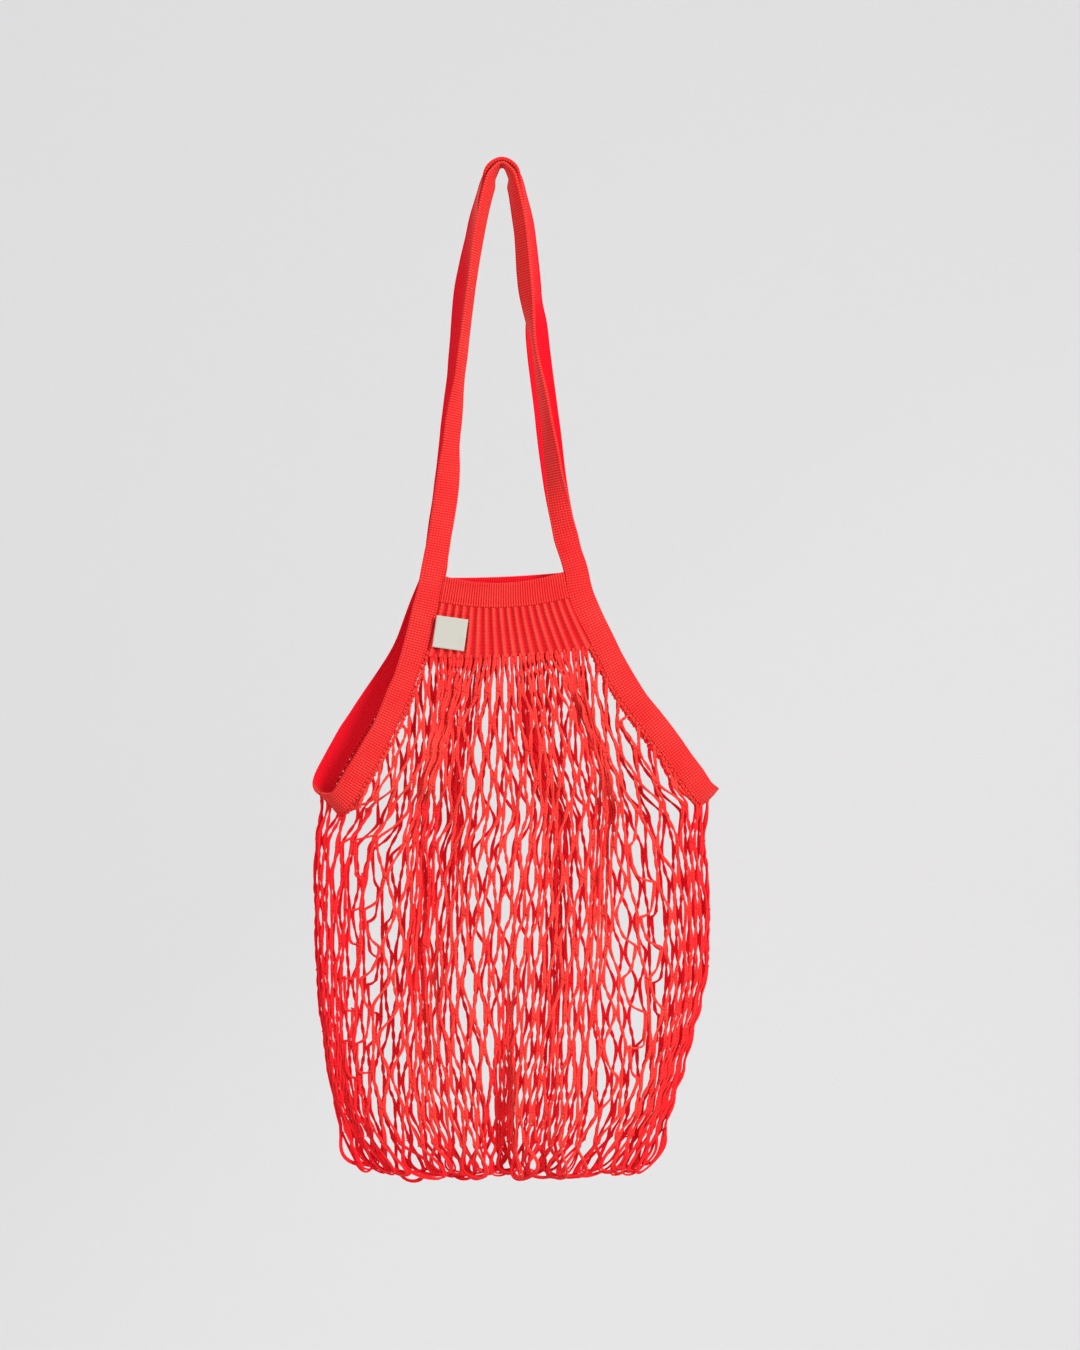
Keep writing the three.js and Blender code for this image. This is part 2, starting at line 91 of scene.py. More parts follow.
rng = np.random.default_rng(7)

# %% [markdown]
# ## The route of the tapes
#
# Each tape runs from the foot of one side opening up the edge of its panel, over the hanging
# point as a handle, and down the other edge. A strap is easiest to steer with a few listed
# points and a smooth curve through them, plus one direction for its width at each point.

# %% Route tables
# Columns: down (share of the handle drop), out (share of the leg's reach),
# depth (share of the bag's depth), turn (degrees from flat towards edge-on).
HANDLE_ROUTES = {
    "front_left": [
        (0.014, 0.1, -0.03, 80), (0.05, 0.17, -0.1, 68), (0.15, 0.3, -0.16, 70),
        (0.3, 0.43, -0.19, 76), (0.5, 0.58, -0.2, 74), (0.65, 0.7, -0.2, 52),
        (0.8, 0.79, -0.2, 24), (0.92, 0.9, -0.19, 12),
    ],
    "front_right": [
        (0.014, 0.1, -0.03, 80), (0.05, 0.15, -0.1, 66), (0.15, 0.25, -0.16, 58),
        (0.3, 0.32, -0.19, 56), (0.45, 0.44, -0.2, 84), (0.6, 0.58, -0.2, 68),
        (0.75, 0.7, -0.2, 50), (0.86, 0.79, -0.2, 22), (0.94, 0.9, -0.19, 6),
    ],
    "back_left": [
        (0.0, 0.18, 0.0, 90), (0.06, 0.31, 0.08, 80), (0.15, 0.42, 0.14, 66),
        (0.3, 0.57, 0.15, 50), (0.5, 0.67, 0.15, 50), (0.65, 0.75, 0.15, 36),
        (0.8, 0.83, 0.16, 12), (0.92, 0.93, 0.18, 4),
    ],
    "back_right": [
        (0.0, 0.18, 0.0, 90), (0.06, 0.29, 0.08, 80), (0.15, 0.38, 0.14, 70),
        (0.3, 0.45, 0.15, 64), (0.42, 0.48, 0.15, 20), (0.6, 0.6, 0.15, 4),
        (0.8, 0.74, 0.17, 0), (0.92, 0.88, 0.19, 0),
    ],
}
# Columns: down (share of the opening's drop), out (0 beside the hem, 1 at the side fold),
# depth (share of the bag's depth), turn and tip of the width in degrees.
OPENING_ROUTES = {
    "front_left": [
        (0.16, 0.07, -0.21, 8, 0), (0.42, 0.22, -0.24, 6, 0), (0.65, 0.41, -0.28, 4, 10),
        (0.86, 0.64, -0.3, 0, 30), (0.98, 0.8, -0.23, 0, 42),
    ],
    "front_right": [
        (0.1, 0.035, -0.2, 0, 0), (0.3, 0.19, -0.22, 0, 0), (0.5, 0.37, -0.26, 0, 10),
        (0.7, 0.63, -0.3, 0, 25), (0.86, 0.83, -0.28, 0, 36), (0.94, 0.93, -0.2, 0, 42),
    ],
    "back_left": [
        (0.15, 0.11, 0.2, 0, 0), (0.35, 0.27, 0.22, 0, 0), (0.6, 0.59, 0.24, 0, 15),
        (0.8, 0.83, 0.25, 0, 35), (0.92, 0.94, 0.19, 0, 45),
    ],
    "back_right": [
        (0.1, 0.035, 0.2, 0, 0), (0.3, 0.18, 0.22, 0, 0), (0.5, 0.36, 0.24, 0, 10),
        (0.7, 0.6, 0.26, 0, 25), (0.85, 0.81, 0.24, 0, 36), (0.93, 0.91, 0.18, 0, 42),
    ],
}
# Columns: down, out, tip of the width in degrees
OPENING_FEET = {"left": (0.98, 0.91, 46), "right": (0.965, 0.98, 45)}


# %% Rows of the round
def width_vector(layer, side, turn, tip=0.0):
    """The direction of a tape's width, towards the middle of the bag or down to the pouch."""
    t, p = math.radians(turn), math.radians(tip)
    level = np.array([-side * math.cos(t), -layer * math.sin(t), 0.0]) * math.cos(p)
    return level + np.array([0.0, 0.0, -math.sin(p)])


def opening_x(side, down, out):
    shift = HEM_SHIFT + (POUCH_SHIFT - HEM_SHIFT) * down
    return side * (LEG_REACH + (SIDE_REACH - LEG_REACH) * out) + shift


def leg_rows(layer, side):
    """The middles and widths of one leg, from the hanging point down to the foot."""
    name = f"{LAYERS[layer]}_{SIDES[side]}"
    rows = []
    for down, out, depth, turn in HANDLE_ROUTES[name]:
        middle = (side * out * LEG_REACH + down * HEM_SHIFT, depth * BAG_DEPTH, -down * HANDLE_DROP)
        rows.append((middle, width_vector(layer, side, turn)))
    first = OPENING_ROUTES[name][0]
    rise = side * HEM_RISE / 2
    hem = (side * LEG_REACH + HEM_SHIFT, layer * BAG_DEPTH / 5, rise - HANDLE_DROP)
    rows.append((hem, width_vector(layer, side, first[3], first[4])))
    for down, out, depth, turn, tip in OPENING_ROUTES[name]:
        middle = (opening_x(side, down, out), depth * BAG_DEPTH, -HANDLE_DROP - down * OPENING_DROP)
        rows.append((middle, width_vector(layer, side, turn, tip)))
    return rows


def hanging_row(layer):
    lifted = 0.0 if layer == FRONT else TAPE_THICK + HANDLE_GAP
    return ((0.0, 0.0, TAPE_THICK / 2 + TAPE_CUP / 2 + lifted), np.array([0.0, -layer, 0.0]))


def foot_row(side):
    down, out, tip = OPENING_FEET[SIDES[side]]
    middle = (opening_x(side, down, out), 0.0, -HANDLE_DROP - down * OPENING_DROP)
    return (middle, width_vector(FRONT, side, 0, tip))


def tape_rows(layer):
    left, right = leg_rows(layer, LEFT), leg_rows(layer, RIGHT)
    return left[::-1] + [hanging_row(layer)] + right


front_rows = tape_rows(FRONT)
back_rows = tape_rows(BACK)[::-1]
round_rows = [foot_row(LEFT)] + front_rows + [foot_row(RIGHT)] + back_rows
round_middles = np.array([row[0] for row in round_rows])
round_widths = np.array([row[1] for row in round_rows])
FEET_PLACES = {LEFT: 0, RIGHT: len(front_rows) + 1}
print("rows on the round of both tapes:", len(round_rows))


# %% A smooth curve through the rows
def unit(v):
    return v / np.maximum(np.linalg.norm(v, axis=-1, keepdims=True), 1e-9)


def round_curve(place):
    """Centripetal spline through the closed round: its points and its tangents."""
    place = np.atleast_1d(np.asarray(place, float)) % len(round_rows)
    first = np.floor(place).astype(int)
    t = (place - first)[:, None]
    p0, p1, p2, p3 = (round_middles[(first + k) % len(round_rows)] for k in (-1, 0, 1, 2))
    spans = ((p0, p1), (p1, p2), (p2, p3))
    d0, d1, d2 = (np.linalg.norm(b - a, axis=1)[:, None] ** 0.5 for a, b in spans)
    m1 = ((p1 - p0) / d0 - (p2 - p0) / (d0 + d1) + (p2 - p1) / d1) * d1
    m2 = ((p2 - p1) / d1 - (p3 - p1) / (d1 + d2) + (p3 - p2) / d2) * d1
    a, b = 2 * p1 - 2 * p2 + m1 + m2, -3 * p1 + 3 * p2 - 2 * m1 - m2
    return p1 + (m1 + (b + a * t) * t) * t, m1 + (2 * b + 3 * a * t) * t


def tape_at(place):
    """A tape's middle, its direction along and its width at places on the round."""
    place = np.atleast_1d(np.asarray(place, float)) % len(round_rows)
    first = np.floor(place).astype(int)
    t = place - first
    share = (t * t * (3 - 2 * t))[:, None]
    middle, along = round_curve(place)
    along = unit(along)
    width = round_widths[first] * (1 - share) + round_widths[(first + 1) % len(round_rows)] * share
    width = unit(width - along * (width * along).sum(1, keepdims=True))
    return middle, along, width


def leg_places(layer, side):
    """Places on the round of a leg's hem corner and of its foot."""
    rows = len(OPENING_ROUTES[f"{LAYERS[layer]}_{SIDES[side]}"]) + 1
    foot = FEET_PLACES[side]
    return foot + (rows if layer == side else -rows), foot


EDGE_STEPS = 400


@functools.cache
def edge_curve(layer, side, gap):
    """The sewn edge below the hem as points with their lengths from the hem corner."""
    hem, foot = leg_places(layer, side)
    middle, _, width = tape_at(np.linspace(hem, foot, EDGE_STEPS + 1))
    points = middle + width * (TAPE_WIDTH / 2 + gap)
    lengths = np.concatenate([[0], np.cumsum(np.linalg.norm(np.diff(points, axis=0), axis=1))])
    return points, lengths


def edge_at(layer, side, length, gap):
    """The point of a sewn edge a given length below its hem corner."""
    points, lengths = edge_curve(layer, side, gap)
    return np.stack([np.interp(length, lengths, points[:, k]) for k in range(3)], axis=-1)


def edge_length(layer, side, gap):
    return edge_curve(layer, side, gap)[1][-1]


opening_lengths = [edge_length(layer, side, NET_GAP) for layer in LAYERS for side in SIDES]
print("opening edge lengths in mm:", [round(float(length), 1) for length in opening_lengths])

# %% [markdown]
# ## The panel and pouch surfaces
#
# The hem, the yoke and the net all hang between the two sewn edges of a panel, so one function
# gives a point of that surface from how far across and how far down it lies. Below the openings
# the panels join at side folds, and a table of sections gives the pouch its outline and depth.

# %% Sections and folds of the pouch
YOKE_TOP = HEM_HEIGHT + SEAM_GAP
YOKE_FOOT = YOKE_TOP + YOKE_HEIGHT
NET_TOP = YOKE_FOOT + SEAM_GAP + NET_THICK / 4
HEM_BULGE = BAG_DEPTH / 40
# Columns: level, left, right, front, back, lift
POUCH_SECTIONS = np.array([
    (-1.0, 1.0, 1.0, 0.04, 0.02, 0.0),
    (-0.5, 1.0, 1.0, 0.14, 0.08, 0.0),
    (0.0, 0.9, 0.95, 0.47, 0.38, 0.0),
    (0.04, 0.97, 0.97, 0.48, 0.39, 0.0),
    (0.1, 1.01, 0.99, 0.5, 0.41, 0.0),
    (0.3, 1.0, 1.005, 0.54, 0.44, 0.0),
    (0.45, 0.985, 1.005, 0.54, 0.44, 0.01),
    (0.6, 0.955, 0.965, 0.51, 0.43, 0.02),
    (0.8, 0.885, 0.88, 0.44, 0.37, 0.03),
    (0.9, 0.835, 0.84, 0.33, 0.29, 0.04),
    (1.0, 0.74, 0.77, 0.0, 0.0, 0.045),
])
SECTION_KEYS = {"left": 1, "right": 2, "front": 3, "back": 4, "lift": 5}
# Columns: across, from, to, width, depth
FOLDS = [
    (-0.42, -0.8, 0.5, 0.14, 0.2),
    (0.42, -0.8, 0.15, 0.15, 0.16),
    (0.0, 0.35, 0.95, 0.15, 0.18),
    (-0.8, 0.05, 0.8, 0.12, 0.14),
    (0.74, 0.05, 0.7, 0.14, 0.14),
]


def section(key, level):
    return np.interp(level, POUCH_SECTIONS[:, 0], POUCH_SECTIONS[:, SECTION_KEYS[key]])


def ease(x, low, high):
    t = np.clip((np.asarray(x, float) - low) / (high - low), 0, 1)
    return t * t * (3 - 2 * t)


BACK_HEM_LIFT = 5.0


def sag_at(layer, length):
    """How far a panel's middle hangs below its ends; the hem at the back stands a little higher."""
    lifted = BACK_HEM_LIFT * np.clip(1 - length / HEM_HEIGHT, 0, 1) if layer == BACK else 0.0
    return HEM_SAG * (1 - length / NET_TOP / 2) - lifted


def panel_point(layer, across, length, gap=0.1):
    """A point of the hem or yoke surface."""
    left, right = edge_at(layer, LEFT, length, gap), edge_at(layer, RIGHT, length, gap)
    arch = (1 - across * across)[..., None]
    share = ((across + 1) / 2)[..., None]
    down = np.array([0, layer * HEM_BULGE, 0]) - np.multiply.outer(sag_at(layer, length), [0, 0, 1])
    return left * (1 - share) + right * share + arch * down


def fold_depth(across, level):
    sunk = np.zeros(np.broadcast(across, level).shape)
    for at, start, end, width, depth in FOLDS:
        span = ease(level, start - 0.2, start + 0.1) * (1 - ease(level, end - 0.1, end + 0.2))
        sunk += depth * BAG_DEPTH * span * np.exp(-(((across - at) / width) ** 2))
    return sunk


def net_point(layer, across, level):
    """A point of the net's surface: level -1 at the yoke, 0 at the feet, 1 at the bottom."""
    across, level = np.broadcast_arrays(np.asarray(across, float), np.asarray(level, float))
    below = np.maximum(level, 0)
    ends = []
    for side in (LEFT, RIGHT):
        whole = edge_length(layer, side, NET_GAP)
        end = edge_at(layer, side, whole + (NET_TOP - whole) * np.maximum(-level, 0), NET_GAP)
        share = section(SIDES[side], below) - section(SIDES[side], 0.0)
        end[..., 0] += side * SIDE_REACH * share - POUCH_SHIFT * below * below
        end[..., 2] -= POUCH_DROP * below
        ends.append(end)
    t = ((across + 1) / 2)[..., None]
    p = ends[0] * (1 - t) + ends[1] * t
    bulge = section(LAYERS[layer], level) * BAG_DEPTH
    arch = np.maximum(1 - np.abs(across) ** 2.4, 0)
    rounding = np.where(level < 0, 0.55 + 0.45 * -level, 0.55)
    sunk = np.minimum(fold_depth(across, level), bulge * 0.8) if layer == FRONT else 0
    p[..., 1] += layer * (bulge * arch ** rounding - sunk * arch)
    sag = np.where(level < 0, sag_at(layer, NET_TOP) * -level, 0)
    p[..., 2] += section("lift", level) * POUCH_DROP * across ** 2 - sag * (1 - across ** 2)
    return p


net_ends = [round(float(net_point(FRONT, 0, level)[2]), 1) for level in (-1, 1)]
print("net from z", net_ends[0], "to", net_ends[1], "mm")

# %% [markdown]
# ## Cotton finishes from shader maths
#
# All the cotton is one dye, but yarn, tape and rib catch the light differently. Each finish is a
# small node tree. A class that wraps a socket lets the maths be written as Python expressions,
# and every number that stays the same is set on the shader itself.


# %% Sockets as expressions
class Wire:
    """An output socket that can be used in plain maths."""

    def __init__(self, finish, socket):
        self.finish, self.socket = finish, socket

    def maths(self, operation, *values):
        inputs = dict(enumerate(values))
        return self.finish.add("ShaderNodeMath", {"operation": operation}, inputs)

    def __add__(self, other):
        return self.maths("ADD", self, other)

    def __rsub__(self, other):
        return self.maths("SUBTRACT", other, self)

    def __mul__(self, other):
        return self.maths("MULTIPLY", self, other)

    def __pow__(self, other):
        return self.maths("POWER", self, other)

    def wave(self, period, shift=None):
        """A wave between 0 and 1 along this value, with another wire as its shift in radians."""
        angle = self * (2 * math.pi / period)
        angle = angle if shift is None else angle + shift
        return self.maths("SINE", angle) * 0.5 + 0.5


# The sockets of a colour mix by number, because its names repeat: share, two colours, result
MIX_INPUTS, MIX_OUTPUT = (0, 6, 7), 2


class Finish:
    """One material, built node by node."""

    def __init__(self, name):
        self.material = bpy.data.materials.new(name)
        self.material.use_nodes = True
        self.tree = self.material.node_tree
        self.shader = self.tree.nodes["Principled BSDF"]

    def feed(self, socket, value):
        if isinstance(value, Wire):
            self.tree.links.new(value.socket, socket)
        else:
            socket.default_value = value

    def add(self, kind, settings=None, inputs=None, out=0):
        """Add a node, feed its inputs and return one of its outputs as a wire."""
        node = self.tree.nodes.new(kind)
        for key, value in (settings or {}).items():
            setattr(node, key, value)
        for key, value in (inputs or {}).items():
            self.feed(node.inputs[key], value)
        return Wire(self, node.outputs[out])

    def noise(self, vector, scale, detail=2.0):
        inputs = {"Vector": vector, "Scale": scale, "Detail": detail}
        return self.add("ShaderNodeTexNoise", None, inputs, "Fac")

    def mix(self, share, first, second):
        first, second = (v if isinstance(v, Wire) else (*v, 1) for v in (first, second))
        inputs = dict(zip(MIX_INPUTS, (share, first, second)))
        return self.add("ShaderNodeMix", {"data_type": "RGBA"}, inputs, MIX_OUTPUT)

    def set(self, **values):
        for name, value in values.items():
            self.feed(self.shader.inputs[name.replace("_", " ")], value)

    def bump(self, height, strength, distance):
        inputs = {"Height": height, "Strength": strength, "Distance": distance}
        self.set(Normal=self.add("ShaderNodeBump", None, inputs, "Normal"))


# %% [markdown]
# ## What the dye looks like, and where shade is painted
#
# The cotton is a bright coral red: warm and almost orange where light falls on it, pure red in
# the depths where light has bounced from yarn to yarn. Light does part of that by itself when the
# base colour is saturated. The nodes add the small differences of dye and wear, and paint shade
# into the colour: a darker red in the grooves of plies and ribs, on faces that look into the bag
# and in folds that reach towards its middle plane. Pale fuzz on the crests of tape and rib is a
# painted sheen.

# %% Cotton colours
CORAL = (0.9, 0.026, 0.022)
# Paler fuzz: random specks on the yarn; on tape and rib crests it is also a painted sheen
CORAL_FUZZ_SHEEN = (0.95, 0.13, 0.09)
# Painted shade: a darker red in the grooves of plies, wales and ribs
CORAL_GROOVE_SHADE = (0.55, 0.002, 0.012)
# Painted shade: the red of faces that look into the bag and of folds near its middle plane
CORAL_SHADE = (0.82, 0.003, 0.016)
CREAM = (0.52, 0.51, 0.45)
CREAM_DARK = (0.42, 0.41, 0.35)
# Lengths of one rib, wale, stitch or thread in mm
YARN_LAY = 2.4
TAPE_RIB_PITCH = 1.7
TAPE_WALE_PITCH = 1.9
YOKE_RIB_PITCH = 4.4
YOKE_STITCH_PITCH = 1.8
HEM_RIB_PITCH = 1.5
HEM_STITCH_PITCH = 1.3
WARP_PITCH = 0.45
WEFT_PITCH = 0.5
# Metres from the middle plane: where a fold gets the full painted shade, and where it gets none
SHADE_DEPTHS = (0.004, 0.018)
# Metres from the middle plane at which a face counts wholly as front or back
SIDE_DEPTH = 1 / 150


def cotton(name, roughness, sheen):
    finish = Finish(name)
    finish.set(Roughness=roughness, Sheen_Weight=sheen, Sheen_Roughness=0.5)
    finish.set(Sheen_Tint=(1.0, 0.4, 0.3, 1.0))
    finish.set(**{"Specular IOR Level": 0.1})
    finish.place = finish.add("ShaderNodeTexCoord", out="Object")
    return finish


def part(finish, vector, axis):
    return finish.add("ShaderNodeSeparateXYZ", None, {0: vector}, axis)


def thread_coordinates(finish):
    """Along (mm) and around (turns or mm across) from the piece's own coordinate layer."""
    layer = finish.add("ShaderNodeUVMap", {"uv_map": "thread"})
    return part(finish, layer, "X"), part(finish, layer, "Y")


def falling_share(finish, value, full, none):
    """1 up to the value full, 0 from the value none on, and a smooth step between them."""
    limits = {"Value": value, "From Min": full, "From Max": none, "To Min": 1.0, "To Max": 0.0}
    return finish.add("ShaderNodeMapRange", {"interpolation_type": "SMOOTHSTEP"}, limits)


def inner_shade_share(finish):
    """1 on faces that look into the bag, which get painted shade, and 0 on its outside."""
    facing = part(finish, finish.add("ShaderNodeNewGeometry", out="Normal"), "Y")
    depth = part(finish, finish.place, "Y")
    layer = depth.maths("MAXIMUM", depth.maths("MINIMUM", depth * (1 / SIDE_DEPTH), 1.0), -1.0)
    return falling_share(finish, facing * layer, -0.7, -0.05)


def fold_shade_share(finish):
    """1 near the middle plane of the bag, so in the sunken pleats and the side folds, where shade is
    painted, else 0.
    """
    depth = part(finish, finish.place, "Y")
    return falling_share(finish, depth.maths("ABSOLUTE", depth), *SHADE_DEPTHS)


# %% Yarn
def speckle(finish, fibre_scale, blotch_scale):
    """Fine fibre fuzz, and the slow blotches in which it stands out."""
    return finish.noise(finish.place, fibre_scale, 3.0), finish.noise(finish.place, blotch_scale, 2.0)


def dye_and_painted_shade(finish, raised, fuzz_sheen, sunk, inner_shade):
    """Coral on what is raised and painted shade in the grooves, paler in specks, and painted shade in folds
    and on inner faces.
    """
    colour = finish.mix(raised, CORAL_GROOVE_SHADE, CORAL)
    colour = finish.mix(fuzz_sheen, colour, CORAL_FUZZ_SHEEN)
    if sunk:
        # sunk is how strongly shade is painted into the folds near the middle plane
        colour = finish.mix(fold_shade_share(finish) * sunk, colour, CORAL_SHADE)
    finish.set(Base_Color=finish.mix(inner_shade_share(finish) * inner_shade, colour, CORAL_SHADE))


def yarn_finish(name, ply, lay):
    """Plied yarn: a spiral groove for each ply, with fibre fuzz over it."""
    finish = cotton(name, 0.8, 0.1)
    along, around = thread_coordinates(finish)
    groove = along.wave(lay, around * (2 * math.pi * ply)) ** 0.6
    fibre, blotch = speckle(finish, 2600.0, 60.0)
    # Painted shade in the ply grooves, in folds and on faces that look into the bag; the pale specks are
    # random fuzz
    dye_and_painted_shade(finish, groove, fibre * blotch * 1.1, sunk=0.75, inner_shade=0.9)
    finish.bump(groove * 0.8 + fibre * 0.35, 0.7, 0.00025)
    return finish.material


YARN = yarn_finish("net_yarn", ply=2, lay=YARN_LAY)
print("yarn nodes:", len(YARN.node_tree.nodes))


# %% Tape, rib and label cloth
def tape_finish():
    """Knitted tape: cross ribs with lengthwise grooves between the wales."""
    finish = cotton("tape_knit", 0.85, 0.08)
    along, across = thread_coordinates(finish)
    wale = across.wave(TAPE_WALE_PITCH) ** 3
    fibre, blotch = speckle(finish, 2300.0, 45.0)
    raised = along.wave(TAPE_RIB_PITCH) * (1 - wale * 0.8)
    # Painted shade between the ribs, in the wale grooves and on the inner face; pale fuzz on the ribs is a
    # painted sheen
    dye_and_painted_shade(finish, raised * 0.8 + fibre * 0.4, fibre * blotch * raised * 1.5, sunk=0, inner_shade=0.95)
    finish.bump(raised + fibre * 0.3, 1.0, 0.0005)
    return finish.material


def rib_finish(name, period, stitch_pitch):
    """Knit ribs: crests with small V stitches and a painted sheen of pale fuzz, and painted shade in the
    ground between them.
    """
    finish = cotton(name, 0.85, 0.1)
    along, across = thread_coordinates(finish)
    crest = across.wave(period)
    stitch = along.wave(stitch_pitch, crest * 2.5)
    fibre, blotch = speckle(finish, 2400.0, 50.0)
    knit = crest ** 2 * 0.85 + stitch * 0.12 + fibre * 0.15
    # Painted shade in the ground between the crests and on faces that look into the bag
    dye_and_painted_shade(finish, knit, fibre * blotch * crest * 1.2, sunk=0, inner_shade=0.9)
    finish.bump(stitch * 0.6 + crest * 0.4 + fibre * 0.25, 1.0, 0.0005)
    return finish.material


TAPE_KNIT = tape_finish()
RIB_KNIT = rib_finish("rib_knit", YOKE_RIB_PITCH, YOKE_STITCH_PITCH)
HEM_KNIT = rib_finish("hem_knit", HEM_RIB_PITCH, HEM_STITCH_PITCH)


def label_finish():
    """Tightly woven cream cotton: over and under threads, slightly uneven."""
    finish = Finish("label_cloth")
    finish.set(Roughness=0.8, Sheen_Weight=0.2, Sheen_Roughness=0.5)
    along, across = thread_coordinates(finish)
    warp, weft = across * (2 * math.pi / WARP_PITCH), along * (2 * math.pi / WEFT_PITCH)
    weave = warp.maths("SINE", warp) * weft.maths("SINE", weft) * 0.5 + 0.5
    fibre = finish.noise(finish.add("ShaderNodeTexCoord", out="Object"), 3000.0, 2.0)
    finish.set(Base_Color=finish.mix(weave * 0.5 + fibre * 0.4, CREAM_DARK, CREAM))
    finish.bump(weave + fibre * 0.3, 0.6, 0.00012)
    return finish.material


LABEL_CLOTH = label_finish()
print("finishes:", [m.name for m in bpy.data.materials])

# %% [markdown]
# ## Meshes from arrays
#
# Hundreds of yarns are too many for separate curve objects, so each set of yarns is swept in
# numpy and written as one joined mesh. A layer of coordinates along and around each thread goes
# with it, so that the finish can twist its plies.


# %% Write arrays as a mesh
def mesh_from(name, points_mm, quads, thread, material, smooth=True):
    """A mesh object from vertices in mm, quads, and the thread coordinates of each corner."""
    mesh = bpy.data.meshes.new(name)
    quads = np.asarray(quads, np.int32)
    mesh.vertices.add(len(points_mm))
    mesh.vertices.foreach_set("co", (np.asarray(points_mm) * MM).astype(np.float32).ravel())
    mesh.loops.add(quads.size)
    mesh.loops.foreach_set("vertex_index", quads.ravel())
    mesh.polygons.add(len(quads))
    mesh.polygons.foreach_set("loop_start", np.arange(0, quads.size, 4, dtype=np.int32))
    mesh.polygons.foreach_set("use_smooth", np.full(len(quads), smooth))
    mesh.update(calc_edges=True)
    layer = mesh.uv_layers.new(name="thread")
    layer.data.foreach_set("uv", np.asarray(thread, np.float32).ravel())
    mesh.validate()
    mesh.materials.append(material)
    piece = bpy.data.objects.new(name, mesh)
    bpy.context.scene.collection.objects.link(piece)
    return piece


def place_piece(piece, node):
    """Let a piece ride with the bag, and hide the frame node that it stands for."""
    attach(piece, "root")
    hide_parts(node)
    return piece


def tube_faces(tubes, steps, sides, closed=False):
    """The quads of tubes side by side, and the tube, step and side of each."""
    spans = steps if closed else steps - 1
    tube, step, side = np.meshgrid(np.arange(tubes), np.arange(spans), np.arange(sides), indexing="ij")
    after, beside = (step + 1) % steps, (side + 1) % sides
    corners = ((step, side), (step, beside), (after, beside), (after, side))
    quads = np.stack([(tube * steps + s) * sides + k for s, k in corners], axis=-1)
    return quads.reshape(-1, 4), tube, step, side


def face_thread(start, end, low, high):
    """Thread coordinates of the four corners of each face."""
    return np.stack([start, low, start, high, end, high, end, low], axis=-1).reshape(-1, 2)


def swept_tubes(paths, radius, sides, lead, closed=False):
    """Tubes along many paths of equal length: vertices, quads and thread coordinates.

    paths is (tubes, steps, 3) in mm, radius a number or (tubes, steps), and lead a direction
    that no path follows for long, from which each ring's start is measured.
    """
    tubes, steps, _ = paths.shape
    if closed:
        ahead = np.roll(paths, -1, axis=1) - np.roll(paths, 1, axis=1)
    else:
        ahead = np.gradient(paths, axis=1)
    ahead = unit(ahead)
    out = unit(np.cross(ahead, lead))
    up = np.cross(out, ahead)
    turn = np.linspace(0, 2 * math.pi, sides, endpoint=False)
    size = np.broadcast_to(np.asarray(radius, float), (tubes, steps))[..., None, None]
    ring = out[:, :, None] * np.cos(turn)[:, None] + up[:, :, None] * np.sin(turn)[:, None]
    points = paths[:, :, None] + ring * size
    quads, tube, step, side = tube_faces(tubes, steps, sides, closed)
    gone = np.linalg.norm(np.roll(paths, -1, axis=1) - paths, axis=2)
    lengths = np.concatenate([np.zeros((tubes, 1)), np.cumsum(gone, axis=1)], axis=1)
    start, end = lengths[tube, step], lengths[tube, step + 1]
    return points.reshape(-1, 3), quads, face_thread(start, end, side / sides, (side + 1) / sides)


def joined(parts):
    """Several sets of tubes as one set of arrays."""
    points, quads, threads, count = [], [], [], 0
    for p, q, t in parts:
        points.append(p)
        quads.append(q + count)
        threads.append(t)
        count += len(p)
    return np.concatenate(points), np.concatenate(quads), np.concatenate(threads)


def smooth_noise(shape, cells, seed):
    """Seeded noise that varies smoothly over a grid of rows and columns."""
    local = np.random.default_rng(seed)
    coarse = local.normal(size=(cells[0] + 3, cells[1] + 3))
    r = np.linspace(0, cells[0], shape[0])
    c = np.linspace(0, cells[1], shape[1])
    fr, fc = r - np.floor(r), c - np.floor(c)
    fr, fc = fr * fr * (3 - 2 * fr), fc * fc * (3 - 2 * fc)
    r, c = np.floor(r).astype(int), np.floor(c).astype(int)
    top = coarse[np.ix_(r, c)] * (1 - fc) + coarse[np.ix_(r, c + 1)] * fc
    low = coarse[np.ix_(r + 1, c)] * (1 - fc) + coarse[np.ix_(r + 1, c + 1)] * fc
    return top * (1 - fr[:, None]) + low * fr[:, None]


# %% [markdown]
# ## Where the net gathers
#
# The cloth of the net is wider than the bag. As it hangs, some of it bunches into dark upright
# pleats, some is pulled open at the sides, and towards the bottom it winds to and fro in depth.
# Tables with a few rows say where it gathers, folds and ladders, and equal steps of cloth are then
# laid along each level line.

# %% Gathers, windings and ladders
MESHES_WIDE = 28
COLUMNS = 2 * MESHES_WIDE
ROWS_BESIDE = 5
ROWS_BELOW = 11
EDGE_GROWTH = 2
ROWS = ROWS_BESIDE + ROWS_BELOW + 1
